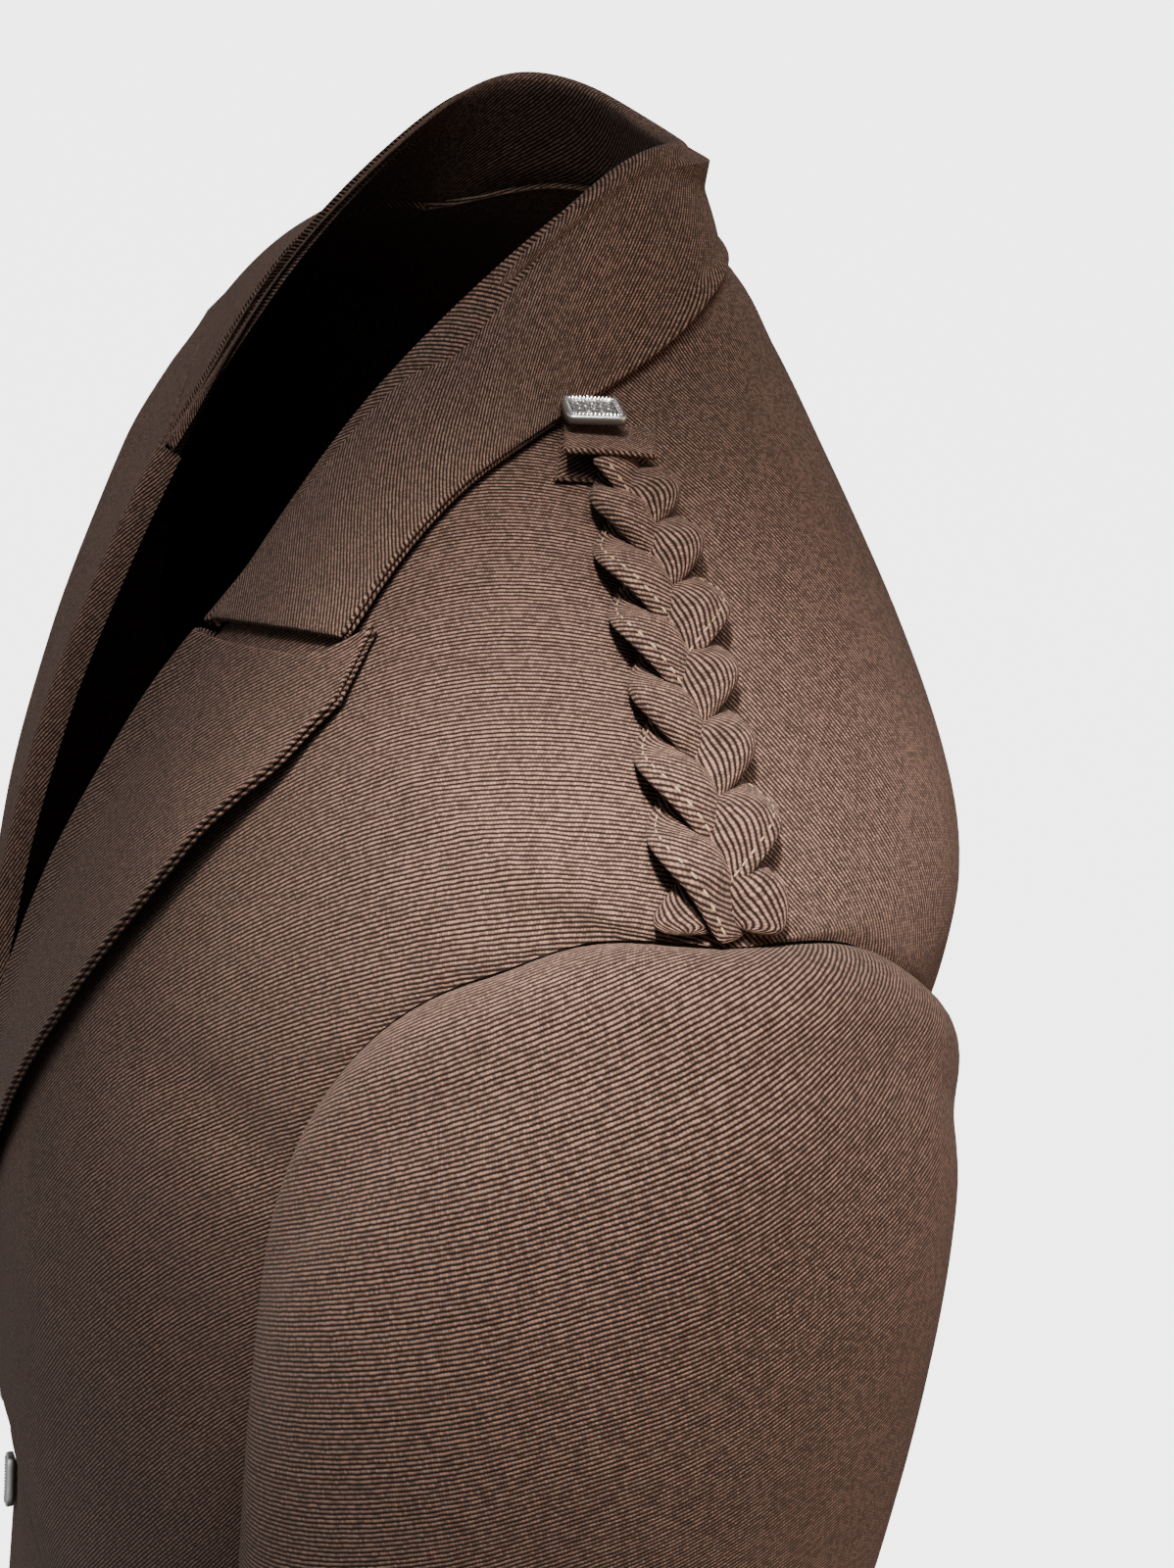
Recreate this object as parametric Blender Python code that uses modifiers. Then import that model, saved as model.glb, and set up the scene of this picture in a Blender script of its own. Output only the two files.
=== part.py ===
"""Kilt jacket in brown wool twill, in the hollow form that it has when it is worn.

Units are metres. +Z is up, the front faces -Y and the wearer's left is +X. The origin is the
middle of the neck base, level with the side neck points. Every cloth piece is a wall between
two surfaces; pieces that meet at a seam stay SEAM apart.
"""

import math

import bpy
import numpy as np


def table(columns, *rows):
    """A table as one array for each named column; the first column is the key."""
    return {name: np.array(values, float) for name, values in zip(columns.split(), zip(*rows))}


# Cloth and seams
CLOTH = 0.0020
FACED = 0.0024
SEAM = 0.0003

# Body of the jacket
NECK_HALF = 0.0851
SHOULDER_HALF = 0.2222
SHOULDER_DROP = 0.0561
BACK_NECK_RISE = 0.022
HEM = -0.640
SECTION_POWER = 2.6

# Level rings of the body: half width at the side, depths in front of and behind middle_y.
# The corner column is how much narrower the ring is away from the shoulder seam.
SECTIONS = table(
    "height half_width front_depth back_depth middle_y corner",
    (BACK_NECK_RISE, 0.0530, 0.0280, 0.0430, 0.008, 0.0),
    (0.0140, 0.0680, 0.0300, 0.0590, 0.008, 0.0),
    (0.0000, NECK_HALF, 0.0340, 0.0700, 0.008, 0.0),
    (-0.0187, 0.1308, 0.0437, 0.0810, 0.007, 0.0),
    (-0.0374, 0.1765, 0.0525, 0.0910, 0.006, 0.0025),
    (-SHOULDER_DROP, SHOULDER_HALF, 0.0615, 0.0990, 0.006, 0.0090),
    (-0.0750, 0.2200, 0.0705, 0.1060, 0.005, 0.0010),
    (-0.1100, 0.2150, 0.0850, 0.1132, 0.004, 0.0),
    (-0.1600, 0.2050, 0.1010, 0.1165, 0.002, 0.0),
    (-0.2150, 0.1920, 0.1120, 0.1150, 0.000, 0.0),
    (-0.2620, 0.1820, 0.1180, 0.1110, 0.000, 0.0),
    (-0.3400, 0.1760, 0.1180, 0.1010, 0.001, 0.0),
    (-0.4300, 0.1640, 0.1110, 0.0920, 0.003, 0.0),
    (-0.5400, 0.1780, 0.1170, 0.1030, 0.004, 0.0),
    (-0.6600, 0.1900, 0.1270, 0.1150, 0.004, 0.0),
)
CORNER_TURN = 26.0

# Armhole, as the seam where the sleeve is set in
UNDERARM = -0.262
ARMHOLE_FRONT = 0.062
ARMHOLE_BACK = 0.0825

# Edges of the panels: share of the way down, height, turn in degrees from the side seam line
UNDERARM_SHARE = 0.46
GORGE_SHARE = 0.25
BREAK_SHARE = 0.66
FRONT_EDGE = table(
    "share height turn",
    (0.00, 0.000, 0.0),
    (0.05, -0.0037, 30.0),
    (0.10, -0.0125, 48.0),
    (0.15, -0.0309, 62.0),
    (0.20, -0.0520, 69.5),
    (GORGE_SHARE, -0.0775, 73.5),
    (0.37, -0.150, 77.5),
    (0.50, -0.250, 82.3),
    (BREAK_SHARE, -0.372, 87.6),
    (0.71, -0.408, 95.6),
    (0.77, -0.460, 96.3),
    (0.83, -0.510, 91.0),
    (0.89, -0.555, 80.0),
    (0.95, -0.600, 61.0),
    (1.00, HEM, 36.0),
)
NECK_SHARE = 0.22
BACK_EDGE = table(
    "share height turn",
    (0.00, 0.000, 0.0),
    (0.08, 0.0165, -35.0),
    (0.16, 0.0207, -65.0),
    (NECK_SHARE, BACK_NECK_RISE, -90.0),
    (0.46, -0.200, -90.0),
    (1.00, HEM, -90.0),
)

# The left front laps over the right one below the break
LAP_TURN, LAP_TURN_SPAN = 66.0, 14.0
LAP_TOP, LAP_SPAN = 0.325, 0.040

# Lapel: its outer edge from the peak down to the break, and how far each part stands off
NOTCH_HEIGHT, NOTCH_TURN = -0.0502, 54.7
LAPEL_EDGE = table(
    "share height turn",
    (0.00, -0.0447, 50.0),
    (0.05, -0.0561, 53.4),
    (0.10, -0.0650, 54.6),
    (0.15, -0.0730, 55.4),
    (0.25, -0.0905, 57.2),
    (0.35, -0.1100, 58.8),
    (0.55, -0.1700, 64.0),
    (0.75, -0.2500, 72.0),
    (0.90, -0.3200, 80.0),
    (1.00, -0.3680, 86.2),
)
LAPEL_STAND = table(
    "share roll_height edge_lift",
    (0.00, 0.0055, 0.0000),
    (0.12, 0.0060, 0.0015),
    (0.30, 0.0060, 0.0050),
    (0.60, 0.0048, 0.0045),
    (0.85, 0.0036, 0.0015),
    (1.00, 0.0030, 0.0000),
)
ROLL_REACH = 0.22
LAPEL_GAP = 0.0009
LAPEL_HOOK = ((1.0, 0.45), (0.75, 0.85))

# Collar from the centre back to the gorge: its seam, its fold and its outer edge
COLLAR_SEAM = table(
    "share turn",
    (0.00, -90.0),
    (0.16, -65.0),
    (0.30, -35.0),
    (0.45, 0.0),
    (0.62, 34.0),
    (0.70, 48.0),
    (0.80, 60.5),
    (0.90, 69.5),
    (1.00, 73.4),
)
COLLAR_FOLD = table(
    "share x y z",
    (0.00, 0.0000, 0.0490, 0.0425),
    (0.12, 0.0230, 0.0460, 0.0435),
    (0.24, 0.0425, 0.0370, 0.0460),
    (0.34, 0.0550, 0.0260, 0.0455),
    (0.45, 0.0645, 0.0115, 0.0375),
    (0.55, 0.0685, -0.0040, 0.0225),
    (0.66, 0.0690, -0.0200, 0.0035),
    (0.78, 0.0680, -0.0380, -0.0215),
    (0.90, 0.0650, -0.0550, -0.0515),
    (1.00, 0.0620, -0.0700, -0.0760),
)
COLLAR_EDGE = table(
    "share height turn",
    (0.00, 0.0175, -90.0),
    (0.14, 0.0170, -65.0),
    (0.27, 0.0149, -39.0),
    (0.31, 0.0117, -30.5),
    (0.355, 0.0067, -22.5),
    (0.40, 0.0031, -14.5),
    (0.46, -0.0022, -2.3),
    (0.53, -0.0061, 10.6),
    (0.63, -0.0108, 24.1),
    (0.74, -0.0172, 35.5),
    (0.90, -0.0336, 48.5),
    (1.00, NOTCH_HEIGHT, NOTCH_TURN),
)
FOLD_RADIUS = 0.0030
FALL_SPRING = 0.0025
COLLAR_EASE = 2

# Sleeve: level rings below the cap as x, y, z, half across and half along
UPPER_RING = (0.2275, 0.0035, -0.270, 0.0395, 0.0708)
ELBOW_RING = (0.2360, 0.0030, -0.400, 0.0440, 0.0670)
CUFF_RING = (0.2430, -0.0420, -0.628, 0.0370, 0.0540)
RING_POWER = 2.2
RING_TILT = 0.035
CAP_REACH = 0.0406
CAP_RISE = 0.012
CAP_UNDER, CAP_INWARD, CAP_DROP, CAP_HANG = 0.35, 0.25, 0.9, 0.45
UNDERARM_CLEAR = 0.0006
FRONT_SEAM_TURN = 108.0
BACK_SEAM_TURN = -120.0
SLEEVE_SEAM_TURN = 0.2
ARMHOLE_STEP = 12.0

# Braided epaulette: three cloth tubes plaited along the shoulder seam
BRAID_START = 0.2190
BRAID_END = 0.1180
BRAID_WIDTH = 0.0217
BRAID_LEAN = table(
    "share back",
    (0.00, -0.0016),
    (0.20, 0.0010),
    (0.45, 0.0030),
    (0.65, 0.0042),
    (1.00, 0.0042),
)
STRAND_WIDTH = 0.0085
STRAND_THICKNESS = 0.0038
STRAND_SWING = 0.0032
STRAND_ROLL = 30.0
PLAIT_TURNS = 2.1
PLAIT_PHASE = 0.12
STRANDS = 3
STRAND_SIDES = 8
STRAND_STATIONS = 41

# Tab that the braid ends in, folded back on itself under the button
TAB_WIDTH = 0.0200
TAB_BACK, TAB_SKEW = -0.0015, 0.0035
TAB_WALL = 0.0013
TAB_RADIUS = 0.0024
TAB_OUTER, TAB_FOLD = 0.1165, 0.1024
TAB_TOP = table("along height", (1.0, 0.0048), (0.6, 0.0067), (0.3, 0.0081), (0.0, 0.0092))

# Metal buttons, square with a raised rim
SHOULDER_BUTTON = 0.0130
SHOULDER_BUTTON_PLACE = (0.1075, 0.0050, -0.0013)
SHOULDER_BUTTON_FACE, SHOULDER_BUTTON_EDGE = (0.0, -0.09, 1.0), (0.98, -0.13, 0.0)
FRONT_BUTTON = 0.0180
FRONT_BUTTON_HEIGHTS, FRONT_BUTTON_TURN = (-0.405, -0.465), 90.0
FRONT_BUTTON_EDGE = (0.7, 0.0, 0.7)
BUTTON_CLEARANCE = 0.0006
BUTTON_PROFILE = ((0.36, 0.0), (0.50, 0.06), (0.50, 0.16), (0.46, 0.21), (0.40, 0.21), (0.37, 0.17))
BUTTON_FIELD = 0.20

COLOURS = {
    "cloth": ((0.105, 0.062, 0.045, 1.0), 0.85, 0.0),
    "metal": ((0.72, 0.71, 0.69, 1.0), 0.25, 1.0),
}


def through(rows, column, at):
    """Monotone cubic through one column of a table."""
    keys, values = next(iter(rows.values())), rows[column]
    if keys[0] > keys[-1]:
        keys, values = keys[::-1], values[::-1]
    step = np.diff(keys)
    slope = np.diff(values) / step
    tangent = np.concatenate([slope[:1], np.zeros(len(keys) - 2), slope[-1:]])
    same_sign = slope[:-1] * slope[1:] > 0
    first, last = 2 * step[1:] + step[:-1], step[1:] + 2 * step[:-1]
    safe = np.where(same_sign, slope[:-1], 1.0), np.where(same_sign, slope[1:], 1.0)
    mean = (first + last) / (first / safe[0] + last / safe[1])
    tangent[1:-1] = np.where(same_sign, mean, 0.0)
    at = np.clip(np.asarray(at, float), keys[0], keys[-1])
    left = np.clip(np.searchsorted(keys, at, side="right") - 1, 0, len(keys) - 2)
    t = (at - keys[left]) / step[left]
    return (
        (2 * t**3 - 3 * t**2 + 1) * values[left]
        + (t**3 - 2 * t**2 + t) * step[left] * tangent[left]
        + (3 * t**2 - 2 * t**3) * values[left + 1]
        + (t**3 - t**2) * step[left] * tangent[left + 1]
    )


def smooth(value):
    value = np.clip(value, 0.0, 1.0)
    return value * value * (3 - 2 * value)


def unit(vectors):
    return vectors / np.maximum(np.linalg.norm(vectors, axis=-1, keepdims=True), 1e-12)


def half_width(turn, height):
    """Half width of the ring. The shoulder seam is straight, and the corner where it ends is
    rounded away from the seam."""
    slope = np.clip(-height / SHOULDER_DROP, 0, 1)
    straight = NECK_HALF + (SHOULDER_HALF - NECK_HALF) * slope
    on_shoulder = (height < 0) & (height > -SHOULDER_DROP)
    corner = through(SECTIONS, "corner", height) * smooth(np.abs(np.degrees(turn)) / CORNER_TURN)
    return np.where(on_shoulder, straight, through(SECTIONS, "half_width", height)) - corner


def body_point(turn, height):
    """A point of the body's outer surface: a superellipse ring at each height."""
    half = half_width(turn, height)
    front = through(SECTIONS, "front_depth", height)
    back = through(SECTIONS, "back_depth", height)
    middle = through(SECTIONS, "middle_y", height)
    c, s = np.cos(turn), np.sin(turn)
    radius = (np.abs(c) ** SECTION_POWER + np.abs(s) ** SECTION_POWER) ** (-1 / SECTION_POWER)
    depth = np.where(s > 0, front, back)
    return np.stack([half * radius * c, middle - depth * radius * s, height], axis=-1)


def body(turn, height, out=0.0):
    """Points at a distance out from the body's surface, and the outward normals there."""
    turn, height = np.broadcast_arrays(np.asarray(turn, float), np.asarray(height, float))
    nudge = 1e-4
    points = body_point(turn, height)
    around = body_point(turn + nudge, height) - body_point(turn - nudge, height)
    down = body_point(turn, height - nudge) - body_point(turn, height + nudge)
    normals = unit(np.cross(around, down))
    away = points - np.stack([0 * turn, 0 * turn, height - 0.1], axis=-1)
    normals *= np.sign((normals * away).sum(axis=-1, keepdims=True))
    return points + normals * np.asarray(out)[..., None], normals


def armhole(phi):
    """Turn and height of the armhole seam; phi is 0 at the shoulder and goes by the front."""
    middle = (UNDERARM - SHOULDER_DROP) / 2
    height = middle - (UNDERARM + SHOULDER_DROP) / 2 * np.cos(phi)
    s = np.sin(phi)
    front, back = through(SECTIONS, "front_depth", height), through(SECTIONS, "back_depth", height)
    depth = np.where(s > 0, front, back)
    reach = np.where(s > 0, ARMHOLE_FRONT, ARMHOLE_BACK) * np.abs(s)
    share = np.clip(reach / depth, 0.0, 0.98)
    across = (1 - share**SECTION_POWER) ** (1 / SECTION_POWER)
    return np.arctan2(share, across) * np.sign(s), height


def outer_edge(share, side):
    """The panel's outer edge: down the armhole, then down the side seam. side is 1 in front."""
    phi = side * np.pi * np.clip(share / UNDERARM_SHARE, 0, 1)
    turn, height = armhole(phi)
    below = np.clip((share - UNDERARM_SHARE) / (1 - UNDERARM_SHARE), 0, 1)
    seam = UNDERARM + (HEM - UNDERARM) * below
    return np.where(below > 0, 0.0, turn), np.where(below > 0, seam, height)


def panel(rows, side, down, across):
    """Turn and height on a panel: straight rows from the inner edge to the outer one."""
    down, across = np.meshgrid(down, across, indexing="ij")
    inner_height = through(rows, "height", down)
    inner_turn = np.radians(through(rows, "turn", down))
    turn, height = outer_edge(down, side)
    return inner_turn + (turn - inner_turn) * across, inner_height + (height - inner_height) * across


def lap(turn, height):
    """How far the left front stands out where it laps over the right one."""
    toward_edge = smooth((np.degrees(turn) - LAP_TURN) / LAP_TURN_SPAN)
    below_break = smooth((-height - LAP_TOP) / LAP_SPAN)
    return (CLOTH + 2 * SEAM) * toward_edge * below_break


def clear_of_body(points, distance):
    """The points, moved out to at least this distance from the body where they are closer."""
    x, y, z = points[..., 0], points[..., 1], points[..., 2]
    ahead = through(SECTIONS, "middle_y", z) - y
    depth = np.where(ahead > 0, through(SECTIONS, "front_depth", z), through(SECTIONS, "back_depth", z))
    turn = np.arctan2(ahead / depth, np.abs(x) / through(SECTIONS, "half_width", z))
    nearest, normals = body(turn, z)
    short = distance - ((points - nearest) * normals).sum(axis=-1)
    return points + normals * np.maximum(short, 0)[..., None]


def grid_faces(rows, columns, wrap=False):
    index = np.arange(rows * columns).reshape(rows, columns)
    after = np.roll(index, -1, axis=1) if wrap else index[:, 1:]
    index = index if wrap else index[:, :-1]
    return np.stack([index[:-1], after[:-1], after[1:], index[1:]], axis=-1).reshape(-1, 4)


def mesh_object(name, vertices, faces, material):
    mesh = bpy.data.meshes.new(name)
    mesh.from_pydata(vertices.tolist(), [], faces)
    mesh.materials.append(material)
    mesh.shade_smooth()
    mesh.set_sharp_from_angle(angle=math.radians(50))
    item = bpy.data.objects.new(name, mesh)
    bpy.data.collections["kilt_jacket"].objects.link(item)
    return item


def turned_out(vertices, quads):
    """The quads, turned round if they enclose the vertices with their backs outward."""
    corners = vertices[quads] - vertices.mean(axis=0)
    normals = np.cross(corners[:, 2] - corners[:, 0], corners[:, 3] - corners[:, 1])
    return quads if (normals * corners.mean(axis=1)).sum() > 0 else quads[:, ::-1]


def wall(name, outer, normals, thickness, material):
    """A closed wall lofted between a grid of points and the grid a thickness behind it."""
    rows, columns = outer.shape[:2]
    vertices = np.concatenate([outer.reshape(-1, 3), (outer - normals * thickness).reshape(-1, 3)])
    top = grid_faces(rows, columns)
    index = np.arange(rows * columns).reshape(rows, columns)
    rim = np.concatenate([index[0, :], index[1:, -1], index[-1, -2::-1], index[-2:0:-1, 0]])
    after = np.roll(rim, -1)
    count = rows * columns
    sides = np.stack([after, rim, rim + count, after + count], axis=-1)
    quads = np.concatenate([top, top[:, ::-1] + count, sides])
    mesh_object(name, vertices, turned_out(vertices, quads).tolist(), material)


def mirrored(points):
    return points * np.array([-1.0, 1.0, 1.0])


def folded(name, points, thickness, facing, columns, material):
    """An open surface with a wall behind it. Its named columns face away from a point."""
    faces = grid_faces(*points.shape[:2])
    vertices = points.reshape(-1, 3)
    chosen = np.zeros(points.shape[1] - 1, bool)
    chosen[columns] = True
    corners = vertices[faces][np.tile(chosen, points.shape[0] - 1)]
    normals = np.cross(corners[:, 2] - corners[:, 0], corners[:, 3] - corners[:, 1])
    if (normals * (corners.mean(axis=1) - facing)).sum() < 0:
        faces = faces[:, ::-1]
    item = mesh_object(name, vertices, faces.tolist(), material)
    solid = item.modifiers.new("wall", "SOLIDIFY")
    solid.thickness = thickness
    solid.offset = -1
    solid.use_quality_normals = True


def rows_down(below):
    """Shares of a panel's rows: one for each step round the armhole, then some below it."""
    armhole_rows = np.arange(0.0, 180.0 + ARMHOLE_STEP / 2, ARMHOLE_STEP) / 180.0 * UNDERARM_SHARE
    return np.concatenate([armhole_rows, np.linspace(UNDERARM_SHARE, 1, below + 1)[1:]])


def set_in(normals, down, side):
    """The panel's wall directions, with those along the armhole shared with the sleeve."""
    rows = down <= UNDERARM_SHARE + 1e-9
    phi = side * np.pi * down[rows] / UNDERARM_SHARE
    normals[rows, -1] = seam_normals(phi, normals[rows, -1])
    return normals


def make_fronts(material):
    down = rows_down(14)
    turn, height = panel(FRONT_EDGE, 1, down, np.linspace(0, 1, 12))
    gap = np.array([0, -SEAM / 2, 0])
    points, normals = body(turn, height, lap(turn, height))
    normals = set_in(normals, down, 1)
    wall("front_left", points + gap, normals, CLOTH, material)
    points, _ = body(turn, height)
    wall("front_right", mirrored(points + gap), mirrored(normals), CLOTH, material)


def make_backs(material):
    down = rows_down(9)
    turn, height = panel(BACK_EDGE, -1, down, np.linspace(0, 1, 12))
    points, normals = body(turn, height)
    normals = set_in(normals, down, -1)
    points = points + np.array([SEAM / 2, SEAM / 2, 0])
    wall("back_left", points, normals, CLOTH, material)
    wall("back_right", mirrored(points), mirrored(normals), CLOTH, material)


def lapel_points(shares, columns, lapped):
    """Outer face of a left lapel: round the front's edge, over the roll and out to its edge."""
    roll_share = GORGE_SHARE + (BREAK_SHARE - GORGE_SHARE) * shares
    roll_height = through(FRONT_EDGE, "height", roll_share)
    roll_turn = np.radians(through(FRONT_EDGE, "turn", roll_share))
    edge_height = through(LAPEL_EDGE, "height", shares)
    edge_turn = np.radians(through(LAPEL_EDGE, "turn", shares))
    c = columns[None, :]
    turn = roll_turn[:, None] + (edge_turn - roll_turn)[:, None] * c
    height = roll_height[:, None] + (edge_height - roll_height)[:, None] * c
    base = FACED + LAPEL_GAP
    roll = np.maximum(through(LAPEL_STAND, "roll_height", shares), base)[:, None]
    lift = through(LAPEL_STAND, "edge_lift", shares)[:, None]
    under = lap(turn, height) * lapped
    out = under + base + (roll - base) * np.clip(1 - c / ROLL_REACH, 0, 1) ** 2 + lift * c**2
    points, normals = body(turn, height, out)
    outward = normals[:, :1]
    edge = points[:, :1] - outward * roll[..., None]
    toward = unit(np.cross(np.gradient(edge, axis=0), outward))
    toward *= np.sign((toward * (points[:, 1:2] - points[:, :1])).sum(axis=-1, keepdims=True))
    reach = FACED + 2 * SEAM
    start = edge - toward * reach - outward * CLOTH
    hook = [edge - toward * reach * a + outward * (roll[..., None] * b) for a, b in LAPEL_HOOK]
    return np.concatenate([start] + hook + [points], axis=1)


def make_lapels(material):
    shares = np.concatenate([np.linspace(0.003, 0.28, 7), np.linspace(0.40, 0.975, 8)])
    columns = np.array([0.0, 0.08, 0.16, 0.27, 0.38, 0.50, 0.62, 0.75, 0.88, 1.0])
    facing = np.array([0, 0.05, -0.25])
    left = lapel_points(shares, columns, 1.0)
    folded("lapel_left", left, FACED, facing, slice(3, None), material)
    right = mirrored(lapel_points(shares, columns, 0.0))
    folded("lapel_right", right, FACED, facing, slice(3, None), material)


def neck_height(turn):
    """Height of the panels' neck edge at a turn in degrees."""
    shares = np.linspace(0, 1, 200)
    back, front = shares[::-1] * NECK_SHARE, shares * GORGE_SHARE
    turns = [through(BACK_EDGE, "turn", back), through(FRONT_EDGE, "turn", front)]
    heights = [through(BACK_EDGE, "height", back), through(FRONT_EDGE, "height", front)]
    return np.interp(turn, np.concatenate(turns), np.concatenate(heights))


def eased(points, passes):
    """The rows drawn towards the mean of their neighbours, with both ends held."""
    points = points.copy()
    for _ in range(passes):
        points[1:-1] = (points[:-2] + 2 * points[1:-1] + points[2:]) / 4
    return points


def collar_half(shares):
    """Outer face of the collar's left half: up the stand, over the fold and down the fall."""
    seam_turn = through(COLLAR_SEAM, "turn", shares)
    seam, _ = body(np.radians(seam_turn), neck_height(seam_turn), SEAM)
    fold = np.stack([through(COLLAR_FOLD, column, shares) for column in "xyz"], axis=-1)
    edge_turn = np.radians(through(COLLAR_EDGE, "turn", shares))
    edge, edge_normal = body(edge_turn, through(COLLAR_EDGE, "height", shares), FACED + SEAM)
    outward = unit(edge - seam)
    upward = unit(fold - seam)
    upward = unit(upward - outward * (upward * outward).sum(axis=-1, keepdims=True))
    r = FOLD_RADIUS
    inner = fold - (outward + upward) * r
    outer = fold + (outward - upward) * r
    stand = [seam + (inner - seam) * t for t in (0.0, 0.5, 1.0)]
    arc = [
        fold - upward * r + outward * (r * math.sin(a)) + upward * (r * math.cos(a))
        for a in np.radians((-50, 0, 50))
    ]
    reach = outer + (edge - outer) * 0.5 + edge_normal * FALL_SPRING
    fall = [
        (1 - t) ** 2 * outer + 2 * t * (1 - t) * reach + t * t * edge
        for t in (0.0, 0.2, 0.4, 0.6, 0.8, 1.0)
    ]
    return np.stack(stand + arc + fall, axis=1)


def make_collar(material):
    shares = np.concatenate([np.linspace(0, 0.9, 19), [0.94, 0.975]])
    left = collar_half(shares)
    both = eased(np.concatenate([mirrored(left[:0:-1]), left]), COLLAR_EASE)
    left[:, 1:] = both[len(left) - 1:, 1:]
    left[:, 6:] = clear_of_body(left[:, 6:], FACED + 7 * SEAM)
    whole = np.concatenate([mirrored(left[:0:-1]), left])
    folded("collar", whole, FACED, np.array([0, -0.01, -0.05]), slice(8, None), material)


def ring(row, phi):
    x, y, z, across, along = row
    c, s = np.cos(phi), np.sin(phi)
    radius = (np.abs(c) ** RING_POWER + np.abs(s) ** RING_POWER) ** (-1 / RING_POWER)
    return np.stack([x + across * radius * c, y - along * radius * s, z + 0 * c], axis=-1)


def sleeve_point(phi, share):
    """Outer face of the left sleeve. share is 0 at the armhole, 1 at the upper ring, 2 at the
    elbow and 3 at the cuff. The cap is a cubic Bezier for each phi; below it a parabola runs
    through the three rings."""
    turn, height = armhole(phi)
    start, outward = body(turn, height)
    upper = ring(UPPER_RING, phi)
    upper[..., 2] += RING_TILT * np.cos(phi)
    rise = 0.5 + 0.5 * np.cos(phi)
    reach = CAP_UNDER + (1 - CAP_UNDER) * rise
    lift = CAP_RISE / CAP_REACH * np.clip(np.cos(phi), 0, 1) - CAP_DROP * (1 - rise)
    spring = np.stack([reach, -CAP_INWARD * np.sin(phi), lift], axis=-1)
    start = start + unit(spring) * SEAM + outward * (UNDERARM_CLEAR * (1 - rise))[..., None]
    first = start + spring * (CAP_REACH * reach)[..., None]
    second = upper.copy()
    second[..., 2] += CAP_HANG * np.linalg.norm(upper - start, axis=-1)
    t = np.clip(share, 0, 1)[..., None]
    cap = (1 - t) ** 3 * start + 3 * (1 - t) ** 2 * t * first
    cap = cap + 3 * (1 - t) * t * t * second + t**3 * upper
    elbow, cuff = ring(ELBOW_RING, phi), ring(CUFF_RING, phi)
    b = np.clip(share - 1, 0, 2)[..., None]
    lower = upper * (b - 1) * (b - 2) / 2 - elbow * b * (b - 2) + cuff * b * (b - 1) / 2
    return np.where(share[..., None] <= 1, cap, lower)


def sleeve(phi, share):
    """Points and outward normals of the left sleeve."""
    phi, share = np.broadcast_arrays(phi, share)
    step = 1e-3
    points = sleeve_point(phi, share)
    around = sleeve_point(phi + step, share) - sleeve_point(phi - step, share)
    inside = np.clip(share, step, 3 - step)
    down = sleeve_point(phi, inside + step) - sleeve_point(phi, inside - step)
    return points, unit(np.cross(around, down))


def seam_normals(phi, own):
    """Directions of the wall at the armhole: both pieces share one where they run on smoothly,
    and each keeps its own where they meet at a sharp angle."""
    turn, height = armhole(phi)
    panel_normal = body(turn, height)[1]
    sleeve_normal = sleeve(phi, 0.0 * phi)[1]
    facing = (panel_normal * sleeve_normal).sum(axis=-1, keepdims=True)
    shared = (panel_normal + sleeve_normal) / np.maximum(1 + facing, 0.2)
    return own + (shared - own) * smooth((facing - 0.1) / 0.4)


def make_sleeves(material):
    shares = np.concatenate([np.linspace(0, 1, 10), np.linspace(1.25, 3, 8)])[:, None]
    spans = (("sleeve_top", BACK_SEAM_TURN, FRONT_SEAM_TURN),
             ("sleeve_under", FRONT_SEAM_TURN, 360 + BACK_SEAM_TURN))
    for name, first, last in spans:
        turns = np.arange(first, last + ARMHOLE_STEP / 2, ARMHOLE_STEP)
        turns[0] += SLEEVE_SEAM_TURN
        turns[-1] -= SLEEVE_SEAM_TURN
        phi = np.radians(turns)
        points, normals = sleeve(phi[None, :], shares)
        normals[0] = seam_normals(phi, normals[0])
        wall(name + "_left", points, normals, CLOTH, material)
        wall(name + "_right", mirrored(points), mirrored(normals), CLOTH, material)


def shoulder_line(x):
    """Points of the shoulder seam at the given half widths, and the outward normals there."""
    height = np.interp(x, [NECK_HALF, SHOULDER_HALF], [0.0, -SHOULDER_DROP])
    return body(0 * x, height)


def strand_rings(strand):
    """Rings of one left strand. It swings from side to side once a turn and up and down twice,
    and rolls toward the strand it passes under, so the three pass over and under each other."""
    share = np.linspace(0, 1, STRAND_STATIONS)
    base, up = shoulder_line(BRAID_START + (BRAID_END - BRAID_START) * share)
    side = np.array([0.0, 1.0, 0.0])
    angle = 2 * np.pi * (PLAIT_TURNS * share + PLAIT_PHASE + strand / STRANDS)
    roll = math.radians(STRAND_ROLL) * np.cos(angle)
    swing = (BRAID_WIDTH - STRAND_WIDTH) / 2 * np.sin(angle) + through(BRAID_LEAN, "back", share)
    lowest = SEAM + STRAND_THICKNESS / 2 + STRAND_WIDTH / 2 * math.sin(math.radians(STRAND_ROLL)) / 2
    lift = lowest + STRAND_SWING * (1 + np.sin(2 * angle))
    around = np.linspace(0, 2 * np.pi, STRAND_SIDES, endpoint=False)
    wide = STRAND_WIDTH / 2 * np.cos(around)[None, :]
    high = STRAND_THICKNESS / 2 * np.sin(around)[None, :]
    c, s = np.cos(roll)[:, None], np.sin(roll)[:, None]
    across = swing[:, None] + wide * c - high * s
    above = lift[:, None] + wide * s + high * c
    return base[:, None] + across[..., None] * side + above[..., None] * up[:, None]


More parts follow.
